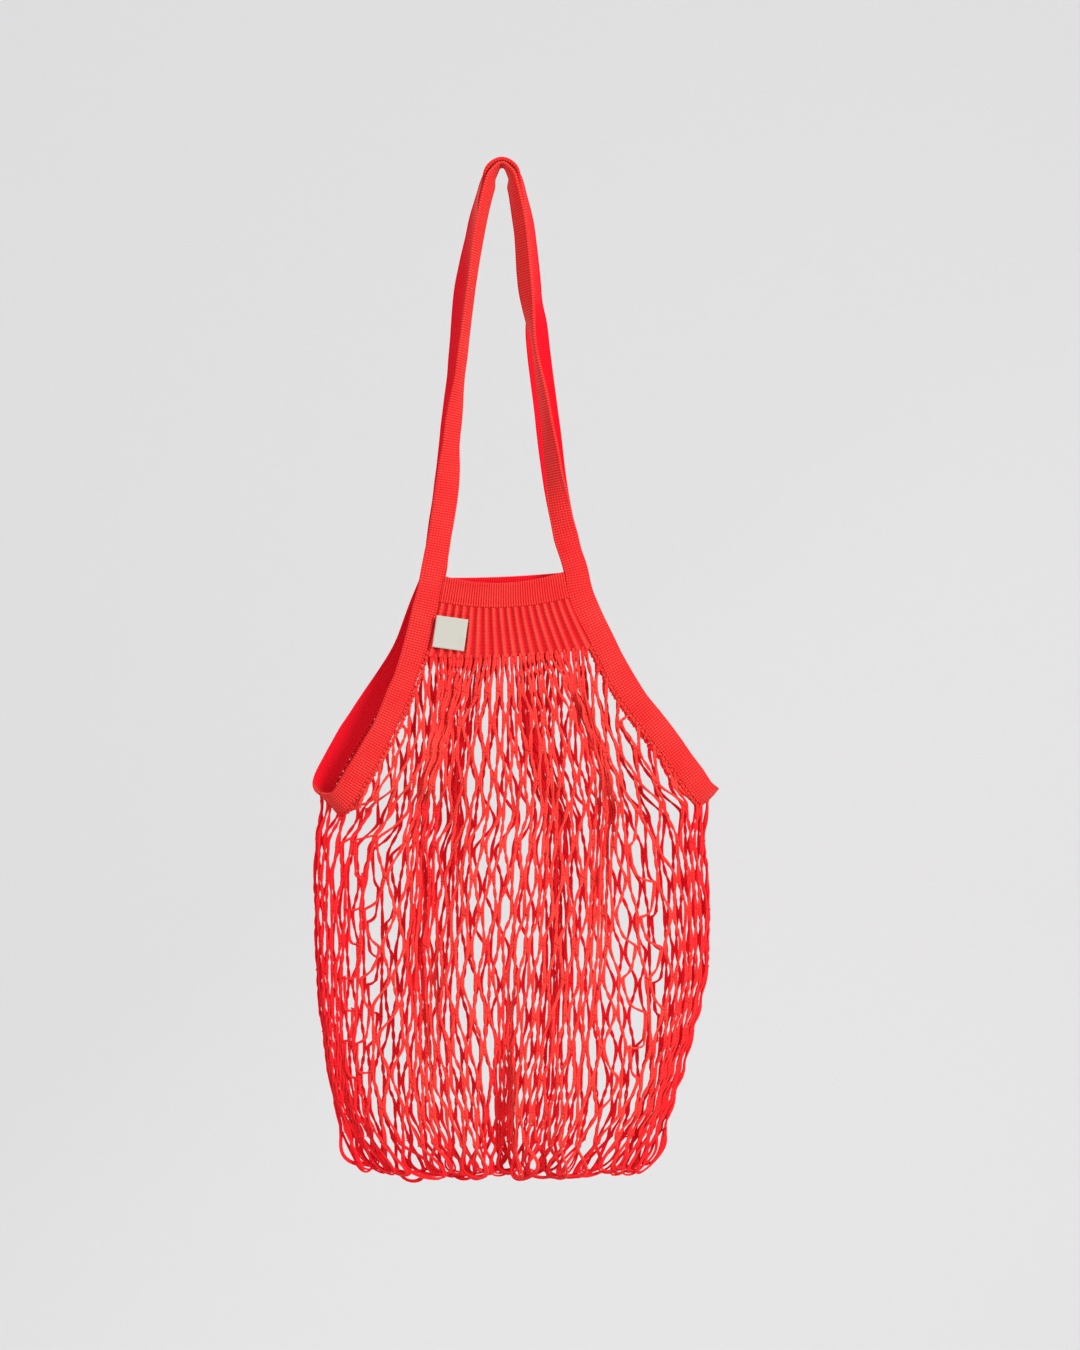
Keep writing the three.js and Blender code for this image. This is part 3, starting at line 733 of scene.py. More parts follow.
# Columns: across at the start, across at the end, from level, to level, width, extra cloth
GATHERS = {
    FRONT: [
        (0.05, 0.08, -0.9, 0.6, 0.3, 0.45),
        (-0.66, -0.45, -1.0, 0.7, 0.07, 0.5), (0.66, 0.42, -1.0, 0.5, 0.07, 0.4),
        (-0.86, -0.86, 0.6, 1.6, 0.2, 0.3), (0.86, 0.86, 0.6, 1.6, 0.2, 0.3),
        (-0.94, -0.92, 0.0, 1.0, 0.08, 1.1), (0.93, 0.92, 0.0, 1.0, 0.08, 1.0),
        (-0.66, -0.6, 0.0, 1.3, 0.15, -0.4), (0.66, 0.6, 0.0, 1.3, 0.16, -0.45),
    ],
    BACK: [
        (-0.5, -0.55, -1.0, 0.6, 0.14, 0.8), (0.3, 0.25, -1.0, 0.7, 0.18, 0.7),
        (-0.9, -0.9, 0.0, 1.3, 0.1, 0.8), (0.88, 0.88, 0.0, 1.3, 0.1, 0.8),
    ],
}
# Columns: across, width, from level, to level, amount
LADDERS = {
    FRONT: [(-0.8, 0.06, 0.02, 0.75, 1.0), (0.66, 0.08, 0.05, 0.7, 0.85)],
    BACK: [(-0.72, 0.08, 0.1, 0.6, 0.6), (0.75, 0.08, 0.1, 0.6, 0.6)],
}
# Above this level the middle of the net widens less than the side folds beside it
FLARE_LEVEL = 0.4
WINDING_LEVELS = (-1.0, -0.3, 0.3, 0.75, 0.92, 1.0)
WINDING_DEPTHS = (0.3, 1.5, 2.5, 4.5, 6.5, 8.0)
# Columns: across at the start, across at the end, from level, to level, width, depth in mm
PLEATS = {
    FRONT: [
        (-0.66, -0.45, -0.95, 0.7, 0.07, 4.4), (0.66, 0.42, -0.95, 0.5, 0.07, 4.2),
        (0.0, 0.02, 0.4, 1.2, 0.06, 3.6),
    ],
    BACK: [(-0.3, -0.35, -0.9, 0.6, 0.06, 4.0), (0.2, 0.25, -0.9, 0.7, 0.06, 4.0)],
}
PLEAT_PITCH = 0.055
# The pleats lie inside the bag's outline, sunk by this share of their depth
PLEAT_SINK = 1.2
# The back layer's rows hang this much lower in mm, so that the front's knots don't hide its own
BACK_ROW_SHIFT = 9.0
print("strands in each layer:", COLUMNS)


# %% Lines of cloth
def pleat_depth(layer, across, level):
    """Small steep folds side by side, which bunch the net into dark upright pleats."""
    depth = np.zeros_like(across)
    for start, end, low, high, width, fold in PLEATS[layer]:
        at = start + (end - start) * np.clip((level - low) / (high - low), 0, 1)
        span = ease(level, low - 0.1, low + 0.4) * (1 - ease(level, high - 0.4, high + 0.4))
        wave = np.sin(2 * math.pi * (across - at) / PLEAT_PITCH) - PLEAT_SINK * layer
        depth += fold * span * wave * np.exp(-(((across - at) / width) ** 2))
    return depth


def cloth_density(layer, across, level):
    density = np.ones_like(across)
    for start, end, low, high, width, extra in GATHERS[layer]:
        at = start + (end - start) * np.clip((level - low) / (high - low), 0, 1)
        span = ease(level, low - 0.3, low + 0.3) * (1 - ease(level, high - 0.4, high + 0.4))
        density += extra * span * np.exp(-(((across - at) / width) ** 2))
    return density


def winding(layer, across, level):
    """How far the net swings in depth: its own way above, front and back alike at the bottom."""
    reach = np.interp(level, WINDING_LEVELS, WINDING_DEPTHS) * (1 - across ** 6)

    def swing(seed):
        wave = 2 * math.pi * (3.0 * across + 0.3 * np.sin(2.1 * across + seed)) + 1.1 * level + seed
        return np.sin(wave) * (0.75 + 0.35 * np.sin(4.7 * across + 2 * seed))

    common = ease(level, 0.4, 1.0)
    return reach * (swing(0.6) * common + swing(2.0 * layer) * (1 - common))


def level_line(layer, across, level):
    """A line of the net, with even rows between the openings and less flare below their feet."""
    line = net_point(layer, across, level)
    if level < 0:
        top, foot = (net_point(layer, across, end)[:, 2] for end in (-1.0, 0.0))
        line[:, 2] += (foot + (foot - top) * level - line[:, 2]) * (1 - across ** 4)
    elif level < FLARE_LEVEL:
        left, right = ((section(side, level) - section(side, 0.0)) * SIDE_REACH
                       for side in SIDES.values())
        flare = right * (across + 1) / 2 - left * (1 - across) / 2
        line[:, 0] -= flare * (1 - np.abs(across) ** (5 * (1 - level / FLARE_LEVEL)))
    return line


def cloth_line(layer, row):
    """One level line of the net: dense points, and how much cloth lies before each."""
    across = np.linspace(-1, 1, 801)
    level = row / ROWS_BESIDE if row < 0 else row / ROWS_BELOW
    line = level_line(layer, across, level)
    line[:, 1] += winding(layer, across, level) + pleat_depth(layer, across, level)
    steps = np.linalg.norm(np.diff(line, axis=0), axis=1)
    middle = (across[1:] + across[:-1]) / 2
    cloth = np.concatenate([[0], np.cumsum(steps * cloth_density(layer, middle, level))])
    return across, line, cloth / cloth[-1]


for layer in LAYERS:
    print("across the", LAYERS[layer], "at the feet:", cloth_line(layer, 0)[1][[0, -1], 0].round(1), "mm")


# %% Places of the knots
def margin_at(row):
    return EDGE_GROWTH * max(-row, 0)


def knot_grid(layer):
    """Knot places for every row and column, and how far across each of them is."""
    grid = np.zeros((ROWS, COLUMNS + 1, 3))
    shares = np.zeros((ROWS, COLUMNS + 1))
    for i in range(ROWS):
        row = i - ROWS_BESIDE
        margin = margin_at(row)
        across, line, cloth = cloth_line(layer, row)
        columns = np.clip(np.arange(COLUMNS + 1), margin, COLUMNS - margin)
        wanted = (columns - margin) / (COLUMNS - 2 * margin)
        if layer == BACK:
            # one column is half a mesh, so the strands of the back show in the meshes of the front
            wanted = wanted + (1 - (2 * wanted - 1) ** 8) / (COLUMNS - 2 * margin)
        shares[i] = np.interp(wanted, cloth, across)
        grid[i] = np.stack([np.interp(wanted, cloth, line[:, k]) for k in range(3)], axis=-1)
    return grid, shares


def ladder_share(layer, across, level):
    share = np.zeros_like(across)
    for at, width, low, high, amount in LADDERS[layer]:
        span = ease(level, low - 0.1, low + 0.05) * (1 - ease(level, high - 0.05, high + 0.15))
        share = np.maximum(share, amount * span * np.exp(-(((across - at) / width) ** 4)))
    return share


def settle(grid, shares, layer):
    """Slips of the knots, and the straightened strands of the ladders."""
    levels = np.array([(i - ROWS_BESIDE) / (ROWS_BESIDE if i < ROWS_BESIDE else ROWS_BELOW)
                       for i in range(ROWS)])[:, None]
    ladder = ladder_share(layer, shares, levels)
    for k in range(0, COLUMNS, 2):
        both = (grid[:, k] + grid[:, k + 1]) / 2
        pull = ((ladder[:, k] + ladder[:, k + 1]) / 2)[:, None]
        grid[:, k] += (both - grid[:, k]) * pull
        grid[:, k + 1] += (both - grid[:, k + 1]) * pull
    free = np.ones(grid.shape[:2])
    for i in range(ROWS):
        margin = margin_at(i - ROWS_BESIDE)
        free[i, :margin + 1] = 0
        free[i, COLUMNS - margin:] = 0
    free[0] = 0
    seed = 20 if layer == FRONT else 40
    size = grid.shape[:2]
    slips = np.random.default_rng(seed + 5)
    slip_x = smooth_noise(size, (7, 16), seed) * 0.9 + slips.normal(size=size) * 0.35
    slip_y = slips.normal(size=size) * 0.6
    slip_z = smooth_noise(size, (4, 14), seed + 1) * 2.6 + slips.normal(size=size) * 0.9
    if layer == BACK:
        slip_z -= BACK_ROW_SHIFT * (1 - shares ** 6) * (1 - ease(levels, 0.6, 1.0))
    slip = np.stack([slip_x, slip_y, slip_z], axis=-1) * free[..., None]
    return grid + slip, ladder


knots, ladders, knot_shares = {}, {}, {}
for layer in LAYERS:
    plain, knot_shares[layer] = knot_grid(layer)
    knots[layer], ladders[layer] = settle(plain, knot_shares[layer], layer)
# Under the turned foot of a tape the knots lie further out and up, less with each column.
# Columns: out, up, in mm
FOOT_SPREAD = {LEFT: (9.5, 4.0), RIGHT: (6.0, 2.0)}
SPREAD_COLUMNS = 11
for side, (out, up) in FOOT_SPREAD.items():
    for near in range(SPREAD_COLUMNS):
        share = 1 - ease(near, -1, SPREAD_COLUMNS)
        column = near if side == LEFT else COLUMNS - near
        for layer in LAYERS:
            knots[layer][ROWS_BESIDE, column] += np.array([side * out, 0.0, up * share ** 3]) * share
# The two layers share the knots of the side folds and of the bottom row
below_feet = slice(ROWS_BESIDE, ROWS)
for shared in ((below_feet, 0), (below_feet, COLUMNS), (ROWS - 1, slice(None))):
    middle = (knots[FRONT][shared] + knots[BACK][shared]) / 2
    knots[FRONT][shared] = middle
    knots[BACK][shared] = middle
print("columns by rows of knots:", knots[FRONT].shape[1], "by", knots[FRONT].shape[0])

# %% [markdown]
# ## The net
#
# The net is knitted in upright zigzag strands of two yarns. Neighbouring strands touch at a knot,
# part, and touch the next strand one half row further down, which leaves tall diamond meshes. It
# could be a texture with holes, but the light between the strands is what makes a string bag, so
# every yarn is swept. Where the cloth is pulled sideways, a strand runs straight down beside its
# neighbour and crosses over in short sagging rungs.

# %% Strands from knot to knot
YARN_RADIUS = 0.68
PAIR_REACH = 0.58
KNOT_OFFSET = 1.2
STEPS_PER_ROW = 9
KNOT_FLAT = 0.07
RUNG_START = 0.52
RUNG_SAG = 0.1
EDGE_YARN_GAP = 1.0
FINE_RADIUS = 0.42
KNOT_WIDTH = KNOT_OFFSET + 1.1
KNOT_DEPTH = 1.25
# How far above its first knot a strand starts, in mm: behind the tape's foot, or in the yoke
START_AT_FOOT = 7.5
START_IN_YOKE = 2.5
# How far the two yarns of a strand part between knots, in mm: anywhere, and more near the bottom
LOOSE_ANYWHERE = 0.12
LOOSE_BELOW = 0.3
# The bottom loops in mm: extra drop at the corners, depth, uneven drop and width of their bellies
LOOP_CORNER_DROP = 3.5
LOOP_DEPTH = 2.0
LOOP_UNEVEN = 1.4
LOOP_BELLIES = (4.0, 11.0)
ROW_DROP = (OPENING_DROP - NET_TOP) / ROWS_BESIDE


def knot_directions(layer):
    across = unit(np.gradient(knots[layer], axis=1) + np.array([1e-6, 0, 0]))
    out = unit(np.cross(across, (0.0, 0.0, 1.0))) * (1 if layer == FRONT else -1)
    return across, out


knot_across, knot_out = {}, {}
for layer in LAYERS:
    knot_across[layer], knot_out[layer] = knot_directions(layer)


def knot_side(layer, k, row):
    """Where strand k lies at a row, with its directions and its share of ladder."""
    i = row + ROWS_BESIDE
    touch = k if (k + row) % 2 == 0 else k + 1
    beside = 1.0 if touch == k else -1.0
    across, out = knot_across[layer][i, touch], knot_out[layer][i, touch]
    place = knots[layer][i, touch] + across * beside * KNOT_OFFSET
    if row >= 0 and touch in (0, COLUMNS):
        place = knots[layer][i, touch] + np.array([0.0, layer * KNOT_OFFSET, 0.0])
    return place, across, out, ladders[layer][i, touch]


def sewn_start(layer, side, height):
    """The point of the sewn edge at a height, where a side strand begins."""
    whole = edge_length(layer, side, EDGE_YARN_GAP)
    points, lengths = edge_curve(layer, side, EDGE_YARN_GAP)
    falling = np.maximum.accumulate(-points[:, 2]) + np.linspace(0, 0.01, len(points))
    length = np.clip(np.interp(-height, falling, lengths), NET_TOP, whole)
    return edge_at(layer, side, length, EDGE_YARN_GAP)


def strand_stops(layer, k):
    """The places that strand k runs through, from the tape or yoke down to the last knots."""
    near = min(k, COLUMNS - 1 - k)
    side = LEFT if k < COLUMNS / 2 else RIGHT
    if near < EDGE_GROWTH * ROWS_BESIDE:
        begin = -(near + 0.5) / EDGE_GROWTH
        first = math.ceil(begin)
        stops = [knot_side(layer, k, row) for row in range(first, ROWS_BELOW)]
        start = stops[0][0] + np.array([0.0, 0.0, START_AT_FOOT])
        if first < 0:
            start = sewn_start(layer, side, stops[0][0][2] + (first - begin) * ROW_DROP)
    else:
        stops = [knot_side(layer, k, row) for row in range(-ROWS_BESIDE, ROWS_BELOW)]
        start = stops[0][0] + np.array([0.0, 0.0, START_IN_YOKE])
    return [(start, *stops[0][1:])] + stops


print("stops of the first strand:", len(strand_stops(FRONT, 0)))


# %% Yarns between the knots
def between_knots(t, ladder, odd):
    """Shares sideways and down on the way from knot to knot."""
    flat = np.clip((t - KNOT_FLAT) / (1 - 2 * KNOT_FLAT), 0, 1)
    sideways = 0.5 * ease(flat, 0, 1) + 0.5 * flat
    if not odd:
        return sideways, t
    rung = np.clip((t - RUNG_START) / (1 - RUNG_START), 0, 1)
    over = ease(rung, 0, 1)
    down = np.minimum(t / RUNG_START, 1) + RUNG_SAG * np.sin(math.pi * rung)
    return sideways + (over - sideways) * ladder, t + (down - t) * ladder


def strand_pair(layer, k):
    """The two yarns of one strand."""
    stops = strand_stops(layer, k)
    t = np.arange(STEPS_PER_ROW) / STEPS_PER_ROW
    parts, turned = [], 0.0
    for n, (a, b) in enumerate(zip(stops[:-1], stops[1:])):
        sideways, down = between_knots(t, (a[3] + b[3]) / 2, k % 2 == 1)
        run = b[0] - a[0]
        middle = a[0] + np.stack([run[0] * sideways, run[1] * sideways, run[2] * down], axis=-1)
        twist = rng.choice([1, 2, 2]) * math.pi
        angle = turned + twist * ease(t, 0, 1)
        turned += twist
        lower = ease(n / len(stops), 0.5, 1.0)
        loose = rng.uniform(0, LOOSE_ANYWHERE) + LOOSE_BELOW * rng.uniform(0, 1) * lower
        spread = PAIR_REACH + loose * np.sin(math.pi * t) ** 2
        side, face = (a[n] * (1 - t)[:, None] + b[n] * t[:, None] for n in (1, 2))
        parts.append((middle, angle, spread, side, face))
    place, side, face = (v[None] for v in stops[-1][:3])
    parts.append((place, [turned], [PAIR_REACH], side, face))
    middle, angle, spread, side, face = (np.concatenate(part) for part in zip(*parts))
    offset = (side * np.cos(angle)[:, None] + face * np.sin(angle)[:, None]) * spread[:, None]
    return [middle + offset, middle - offset]


def bottom_loops(layer):
    """The rounded loops in which the last half row turns back up."""
    t = np.linspace(0, 1, 21)
    paths = []
    last = ROWS_BELOW - 1
    for j in range(last % 2, COLUMNS - 1, 2):
        a, side_a, out_a, _ = knot_side(layer, j, last)
        b, _, _, _ = knot_side(layer, j + 1, last)
        drop = LOOP_CORNER_DROP * knot_shares[layer][-1, j + 1] ** 2
        fall = rng.normal() * LOOP_UNEVEN - drop
        low = knots[layer][-1, j + 1] + np.array([0.0, layer * LOOP_DEPTH, fall])
        share = ((1 - np.cos(math.pi * t)) / 2)[:, None]
        dip = np.sin(math.pi * t)[:, None] ** 0.8
        depth = (a + b) / 2 - low
        loop = a * (1 - share) + b * share - dip * depth
        belly = rng.uniform(*LOOP_BELLIES) * np.sin(2 * math.pi * t)[:, None]
        loop = loop - side_a * belly
        spread = PAIR_REACH + rng.uniform(0.0, 0.7) * np.sin(math.pi * t)[:, None] ** 2
        turn = rng.uniform(-0.6, 0.6) + math.pi * rng.choice([0, 1]) * share
        offset = (side_a * np.cos(turn) + out_a * np.sin(turn)) * spread
        offset = offset + np.array([0, 0, 1.0]) * spread * 0.6 * np.sin(math.pi * t)[:, None] ** 2
        paths += [loop + offset, loop - offset]
    return np.array(paths)


def net_yarns(layer):
    groups = {}
    for k in range(COLUMNS):
        pair = strand_pair(layer, k)
        groups.setdefault(len(pair[0]), []).extend(pair)
    groups["loops"] = bottom_loops(layer)
    parts = [swept_tubes(np.array(paths), YARN_RADIUS, 6, (0.0, 1.0, 0.0)) for paths in groups.values()]
    return mesh_from(f"net_yarns_{LAYERS[layer]}", *joined(parts), YARN)


net_pieces = [net_yarns(layer) for layer in LAYERS]
print("faces in the net yarns:", [len(p.data.polygons) for p in net_pieces])


# %% Knots where two strands touch
def knot_wraps(layer):
    """A short slanted wrap of yarn round the four yarns of each knot."""
    turn = np.linspace(0, 2 * np.pi, 12, endpoint=False)
    paths = []
    for i in range(1, ROWS - 1):
        row = i - ROWS_BESIDE
        margin = margin_at(row)
        for c in range(margin + 1, COLUMNS - margin):
            if (c + row) % 2:
                continue
            slant = rng.uniform(0.25, 0.55) * rng.choice([-1, 1])
            across, out = knot_across[layer][i, c], knot_out[layer][i, c]
            ring = (np.outer(np.cos(turn) * KNOT_WIDTH, across)
                    + np.outer(np.sin(turn) * KNOT_DEPTH, out)
                    + np.outer(np.cos(turn) * slant * KNOT_WIDTH, (0, 0, 1)))
            paths.append(knots[layer][i, c] + ring)
    wraps = swept_tubes(np.array(paths), FINE_RADIUS, 5, (0.0, 0.0, 1.0), closed=True)
    return mesh_from(f"net_knots_{LAYERS[layer]}", *wraps, YARN)


net_pieces += [knot_wraps(layer) for layer in LAYERS]
print("faces in the knots:", [len(p.data.polygons) for p in net_pieces[2:]])

# %% [markdown]
# ## Sewing the net to the tapes
#
# A cord of two twisted yarns runs along each cut edge of the net, and a thread whips it to the
# tape with a stitch every few millimetres.

# %% Edge cords and whip stitches
CORD_LAY = 9.0
STITCH_PITCH = 3.2
# Where a stitch starts from the edge, how far down it slants and how deep it goes, in mm
STITCH_GAP = 0.35
STITCH_SLANT = 0.8
STITCH_DEPTH = 1.75
# A stitch reaches past the cord by this share
STITCH_OVERLAP = 1.2


def edge_sewing(layer):
    cords, stitches = [], []
    turn = np.linspace(0, 2 * np.pi, 10, endpoint=False)
    for side in SIDES:
        whole = edge_length(layer, side, EDGE_YARN_GAP)
        along = np.linspace(NET_TOP - 4, whole, 90)
        middle = edge_at(layer, side, along, EDGE_YARN_GAP)
        ahead = unit(np.gradient(middle, axis=0))
        out = unit(np.cross(ahead, (0.0, 1.0, 0.0)))
        angle = (2 * math.pi * along / CORD_LAY)[:, None]
        offset = (out * np.cos(angle) + np.array([0, 1.0, 0]) * np.sin(angle)) * PAIR_REACH
        cords += [middle + offset, middle - offset]
        for length in np.arange(NET_TOP - 2, whole - 1, STITCH_PITCH):
            centre = edge_at(layer, side, length, STITCH_GAP)
            over = edge_at(layer, side, length + STITCH_SLANT, EDGE_YARN_GAP + 1.0) - centre
            ring = (np.outer(np.cos(turn), over) * STITCH_OVERLAP
                    + np.outer(np.sin(turn), (0, STITCH_DEPTH, 0)))
            stitches.append(centre + ring)
    parts = [swept_tubes(np.array(cords), YARN_RADIUS, 6, (0.0, 1.0, 0.0)),
             swept_tubes(np.array(stitches), FINE_RADIUS, 4, (0.7, 0.1, 0.7), closed=True)]
    return mesh_from(f"net_edges_{LAYERS[layer]}", *joined(parts), YARN)


net_pieces += [edge_sewing(layer) for layer in LAYERS]
for piece in net_pieces:
    place_piece(piece, "net")
print("faces in the edges:", [len(p.data.polygons) for p in net_pieces[4:]])

# %% [markdown]
# ## The tapes
#
# A tape is a narrow knitted strap that is a little cupped, with a thicker piping along each edge.
# A bevelled curve would twist where it turns, so the strap is swept here with its own width
# direction at every step, the same one that the frame's solid follows.

# %% Sweep the tapes
TAPE_PITCH = 1.0
TAPE_TRIM = 0.3
# The width wanders by this much in mm, with a new value every few mm
TAPE_WOBBLE = 0.2
WOBBLE_PITCH = 12
# Columns: across (share of half the width), half thickness (share)
TAPE_SECTION = [
    (-1.0, 0.0), (-0.985, 0.55), (-0.93, 0.95), (-0.87, 1.0), (-0.8, 0.72), (-0.7, 0.8), (-0.4, 0.88),
    (0.0, 0.85), (0.4, 0.88), (0.7, 0.8), (0.8, 0.72), (0.87, 1.0), (0.93, 0.95), (0.985, 0.55), (1.0, 0.0),
]


def tape_places(layer):
    start, end = (0, FEET_PLACES[RIGHT]) if layer == FRONT else (FEET_PLACES[RIGHT], len(round_rows))
    dense = np.linspace(start, end, 4000)
    middle, _ = round_curve(dense)
    lengths = np.concatenate([[0], np.cumsum(np.linalg.norm(np.diff(middle, axis=0), axis=1))])
    even = np.arange(TAPE_TRIM, lengths[-1] - TAPE_TRIM, TAPE_PITCH)
    return np.interp(even, lengths, dense), even


def tape_mesh(layer):
    places, lengths = tape_places(layer)
    middle, along, width = tape_at(places)
    face = np.cross(along, width)
    upper = np.array(TAPE_SECTION)
    lower = upper[-2:0:-1] * (1, -1)
    wide, thick = np.concatenate([upper, lower]).T
    steps, count = len(places), len(wide)
    marks = np.arange(0, lengths[-1] + 30, WOBBLE_PITCH)
    wobble = np.interp(lengths, marks, rng.normal(size=len(marks)) * TAPE_WOBBLE)
    half = TAPE_WIDTH / 2 + wobble
    bow = TAPE_CUP * (np.abs(wide) ** 2 - 0.5)
    points = (middle[:, None] + width[:, None] * (wide[None, :, None] * half[:, None, None])
              + face[:, None] * (bow + thick * TAPE_THICK / 2)[None, :, None])
    quads, _, step, k = tube_faces(1, steps, count)
    rim = np.append(wide, wide[0]) * TAPE_WIDTH / 2
    thread = face_thread(lengths[step], lengths[step + 1], rim[k], rim[k + 1])
    piece = mesh_from(f"tape_knit_{LAYERS[layer]}", points.reshape(-1, 3), quads, thread, TAPE_KNIT)
    body = bmesh.new()
    body.from_mesh(piece.data)
    bmesh.ops.holes_fill(body, edges=[e for e in body.edges if e.is_boundary])
    bmesh.ops.recalc_face_normals(body, faces=body.faces)
    body.to_mesh(piece.data)
    body.free()
    return place_piece(piece, f"tape_{LAYERS[layer]}")


tapes = [tape_mesh(layer) for layer in LAYERS]
print("faces in the tapes:", [len(p.data.polygons) for p in tapes])
print("tape lengths in mm:", [round(float(tape_places(layer)[1][-1])) for layer in LAYERS])

# %% [markdown]
# ## Yokes and hems
#
# The yoke is a rib knit: narrow raised wales stand over sunken ground, and each wale runs on into
# one knot of the net. Real relief is worth its faces here, because the ribs are what the eye
# follows from the hem into the net. The hem is the same cloth folded over and stitched down, so
# its ribs are finer and flatter.

# %% Slabs over the panel surface
YOKE_THICK = 1.8
RIB_RISE = 1.5
RIB_HALF = 0.52
HEM_THICK = 2.6
SEAM_LINE = HEM_HEIGHT + SEAM_GAP / 2
# The stitches of a rib and the ground between ribs, in mm
BEAD_PITCH = 2.6
BEAD_RISE = 0.35
GROUND_PITCH = 1.3
GROUND_RISE = 0.12
GROUND_SINK = 0.4
# The hem's upright ribs, then its groove, ridge and rolled top. Columns: place down the hem,
# half width, rise, all in mm
HEM_RIB_RISE = 0.2
HEM_LINES = [(HEM_HEIGHT - 2.4, 0.7, -0.4), (HEM_HEIGHT - 0.6, 0.6, 0.5), (1.6, 1.6, 0.35)]


def grid_corners(rows, columns):
    """The first corner of each face of a grid, and its rim as a closed round with what follows."""
    r, c = np.meshgrid(np.arange(rows - 1), np.arange(columns - 1), indexing="ij")
    rim = np.concatenate([np.arange(columns), np.arange(1, rows) * columns + columns - 1,
                          (rows - 1) * columns + np.arange(columns - 2, -1, -1),
                          np.arange(rows - 2, 0, -1) * columns])
    return (r * columns + c).ravel(), rim, np.roll(rim, -1)


def slab(name, layer, across, length, relief, half, flat_across, material):
    """A closed slab over a grid of a panel, with relief in mm on both faces."""
    rows, columns = across.shape
    middle = panel_point(layer, across, length)
    right, down = unit(np.gradient(middle, axis=1)), unit(np.gradient(middle, axis=0))
    out = unit(np.cross(down, right)) * (1 if layer == FRONT else -1)
    near = np.minimum(length - length[0], length[-1] - length)
    edge = 0.35 + 0.65 * np.sqrt(np.clip(near / half, 0, 1))
    outer = middle + out * (half * edge + relief)[..., None]
    inner = middle - out * (half * edge + relief * 0.6)[..., None]
    points = np.concatenate([outer.reshape(-1, 3), inner.reshape(-1, 3)])
    a, rim, after = grid_corners(rows, columns)
    face = np.stack([a, a + columns, a + columns + 1, a + 1], axis=-1)
    back = face[:, ::-1] + rows * columns
    wall = np.stack([rim, after, after + rows * columns, rim + rows * columns], axis=-1)
    quads = np.concatenate([face, back, wall])
    if layer == BACK:
        quads = quads[:, ::-1]
    flat = np.stack([length.ravel(), flat_across.ravel()], axis=-1)
    thread = np.concatenate([flat, flat])[quads.ravel()]
    return mesh_from(name, points, quads, thread, material)


def yoke_mesh(layer):
    """Ribs that start evenly under the hem and fan out to the knots of the net."""
    rows, per_rib = 80, 11
    phase = np.linspace(0, RIB_COUNT, RIB_COUNT * per_rib + 1)
    share = np.linspace(0, 1, rows)[:, None]
    columns = np.arange(COLUMNS + 1) - margin_at(-ROWS_BESIDE)
    foot = np.interp(phase * 2, columns, knot_shares[layer][0])
    across = (2 * phase / RIB_COUNT - 1) * (1 - share) + foot * share
    length = SEAM_LINE + (NET_TOP - SEAM_LINE) * share + 0 * across
    off = np.abs(phase - np.floor(phase) - 0.5) * 2 + 0 * share
    crest = np.clip(1 - (off / RIB_HALF) ** 2, 0, 1) ** 0.7
    bead = np.sin(2 * np.pi * length / BEAD_PITCH + 3 * off)
    relief = (RIB_RISE + BEAD_RISE * bead) * crest - GROUND_SINK * (1 - crest)
    relief += GROUND_RISE * np.sin(2 * np.pi * length / GROUND_PITCH) * (1 - crest)
    flat_across = (phase - 0.25) * YOKE_RIB_PITCH + 0 * share
    return slab(f"yoke_knit_{LAYERS[layer]}", layer, across, length, relief,
                YOKE_THICK / 2, flat_across, RIB_KNIT)


def hem_mesh(layer):
    """A folded band with fine upright ribs, a rolled top and a stitched groove near its foot."""
    across, length = np.meshgrid(np.linspace(-1, 1, 301), np.linspace(0, SEAM_LINE, 26))
    relief = HEM_RIB_RISE * np.sin(across * HEM_WIDTH * np.pi / HEM_RIB_PITCH)
    for place, width, rise in HEM_LINES:
        relief = relief + rise * np.exp(-(((length - place) / width) ** 2))
    return slab(f"hem_knit_{LAYERS[layer]}", layer, across, length, relief,
                HEM_THICK / 2, across * HEM_WIDTH / 2, HEM_KNIT)


for layer in LAYERS:
    place_piece(yoke_mesh(layer), f"yoke_{LAYERS[layer]}")
    place_piece(hem_mesh(layer), f"hem_{LAYERS[layer]}")
print("yokes and hems are on")

# %% [markdown]
# ## The label
#
# A small bare square of woven cotton lies over the end of the yoke, a little tilted. A grid with
# thinner, slightly curled edges is enough.

# %% Label
LABEL_SIZE = 21.0
LABEL_THICK = 0.9
LABEL_TILT = 8.0
LABEL_CURL = 0.35
LABEL_GRID = 25


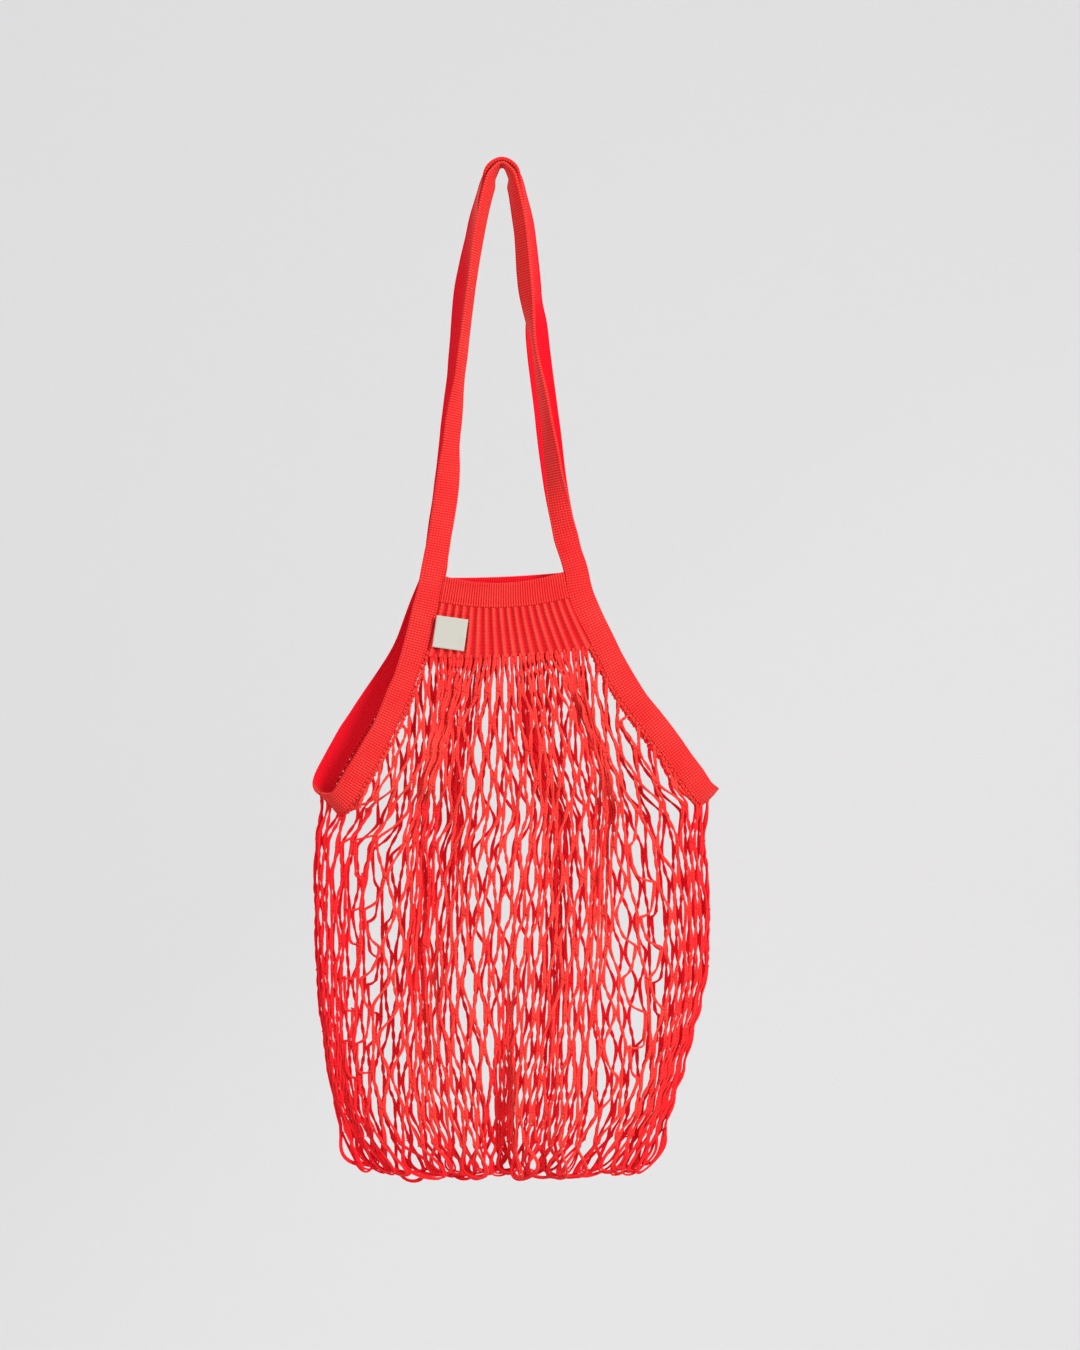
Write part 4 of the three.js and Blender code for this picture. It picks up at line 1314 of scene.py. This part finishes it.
def label_mesh():
    low, high = (np.array(corner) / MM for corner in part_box("label"))
    centre, tilt = (low + high) / 2, math.radians(LABEL_TILT)
    n = LABEL_GRID
    u, v = np.meshgrid(np.linspace(-1, 1, n), np.linspace(-1, 1, n))
    x, z = u * LABEL_SIZE / 2, v * LABEL_SIZE / 2
    edge = np.clip((1 - np.maximum(np.abs(u), np.abs(v))) * LABEL_SIZE / 2, 0, 1)
    curl = LABEL_CURL * (np.abs(u) ** 4 * (v < 0) + np.abs(v) ** 6)
    half = LABEL_THICK / 2 * np.sqrt(0.2 + 0.8 * edge)
    turn = np.array([[math.cos(tilt), math.sin(tilt)], [-math.sin(tilt), math.cos(tilt)]])

    def lay(depth):
        flat = np.stack([x, z], axis=-1) @ turn.T
        return centre + np.stack([flat[..., 0], depth, flat[..., 1]], axis=-1)

    points = np.concatenate([lay(-half - curl).reshape(-1, 3), lay(half - curl).reshape(-1, 3)])
    a, rim, after = grid_corners(n, n)
    face = np.stack([a, a + 1, a + n + 1, a + n], axis=-1)
    wall = np.stack([after, rim, rim + n * n, after + n * n], axis=-1)
    quads = np.concatenate([face, face[:, ::-1] + n * n, wall])
    flat = np.stack([z.ravel(), x.ravel()], axis=-1)
    thread = np.concatenate([flat, flat])[quads.ravel()]
    return mesh_from("label_cloth", points, quads, thread, LABEL_CLOTH)


label = place_piece(label_mesh(), "label")
print("faces in the label:", len(label.data.polygons))

# %% [markdown]
# ## Light and camera
#
# The bag is lit like the photograph: one large soft light from the upper right in front, and a
# pale room around it. The camera stands two metres away, level with the middle of the bag.


# %% Room
def matt(name, colour):
    finish = Finish(name)
    finish.set(Base_Color=(*colour, 1), Roughness=0.95)
    return finish.material


def sweep(name, outline, half_width, material):
    """A strip swept sideways along an outline of (y, z) points: floor and backdrop in one."""
    points = [(side * half_width / MM, y / MM, z / MM) for y, z in outline for side in (-1, 1)]
    quads = [(2 * i, 2 * i + 1, 2 * i + 3, 2 * i + 2) for i in range(len(outline) - 1)]
    return mesh_from(name, np.array(points), quads, np.zeros((len(quads) * 4, 2)), material)


FLOOR_Z = -1.5
BACKDROP_Y = 2.9
BEND_RADIUS = 0.8
bend = [(BACKDROP_Y - BEND_RADIUS + BEND_RADIUS * math.sin(t),
         FLOOR_Z + BEND_RADIUS - BEND_RADIUS * math.cos(t)) for t in np.linspace(0, math.pi / 2, 13)]
floor_outline = [(-4.0, FLOOR_Z), *bend, (BACKDROP_Y, 2.4)]
floor = sweep("floor", floor_outline, 5.0, matt("pale_floor", (0.78, 0.77, 0.76)))

world = bpy.data.worlds.new("room")
bpy.context.scene.world = world
world.use_nodes = True
sky = world.node_tree.nodes["Background"].inputs
sky["Color"].default_value = (0.93, 0.95, 1.0, 1)
sky["Strength"].default_value = 0.74


def soft_light(name, place, aim, size, power, colour):
    light = bpy.data.lights.new(name, "AREA")
    light.shape, light.size = "DISK", size
    light.energy, light.color = power, colour
    lamp = bpy.data.objects.new(name, light)
    lamp.location = place
    lamp.rotation_euler = (Vector(aim) - Vector(place)).to_track_quat("-Z", "Y").to_euler()
    bpy.context.scene.collection.objects.link(lamp)


BAG_MIDDLE = (0.01, 0.0, -0.4)
soft_light("window", (1.5, -1.9, 0.6), BAG_MIDDLE, 0.7, 60, (1.0, 0.97, 0.94))
soft_light("room_fill", (-1.8, -1.6, 0.2), BAG_MIDDLE, 1.6, 10, (0.95, 0.97, 1.0))
soft_light("room_back", (-0.9, 1.8, 0.7), BAG_MIDDLE, 1.0, 16, (1.0, 0.98, 0.96))
for side, name in SIDES.items():
    backdrop = (-side * 0.5, BACKDROP_Y, -0.4)
    soft_light(f"wash_{name}", (side * 2.4, 1.1, -0.3), backdrop, 1.5, 1.5, (1.0, 1.0, 1.0))
print("lights:", [light.name for light in bpy.data.lights])

# %% Camera
CAMERA_DISTANCE = 2.0
VIEW_MIDDLE = (0.0251, 0.0, -0.3353)
VIEW_HEIGHT = 0.891
SENSOR = 36.0
camera_data = bpy.data.cameras.new("camera")
camera_data.sensor_fit = "VERTICAL"
camera_data.sensor_height = SENSOR
camera_data.lens = SENSOR * CAMERA_DISTANCE / VIEW_HEIGHT
camera = bpy.data.objects.new("camera", camera_data)
camera.location = (VIEW_MIDDLE[0], -CAMERA_DISTANCE, VIEW_MIDDLE[2])
camera.rotation_euler = (math.pi / 2, 0, 0)
bpy.context.scene.collection.objects.link(camera)
bpy.context.scene.camera = camera
bpy.context.scene.view_settings.view_transform = "Standard"
print("lens in mm:", round(camera_data.lens, 1))
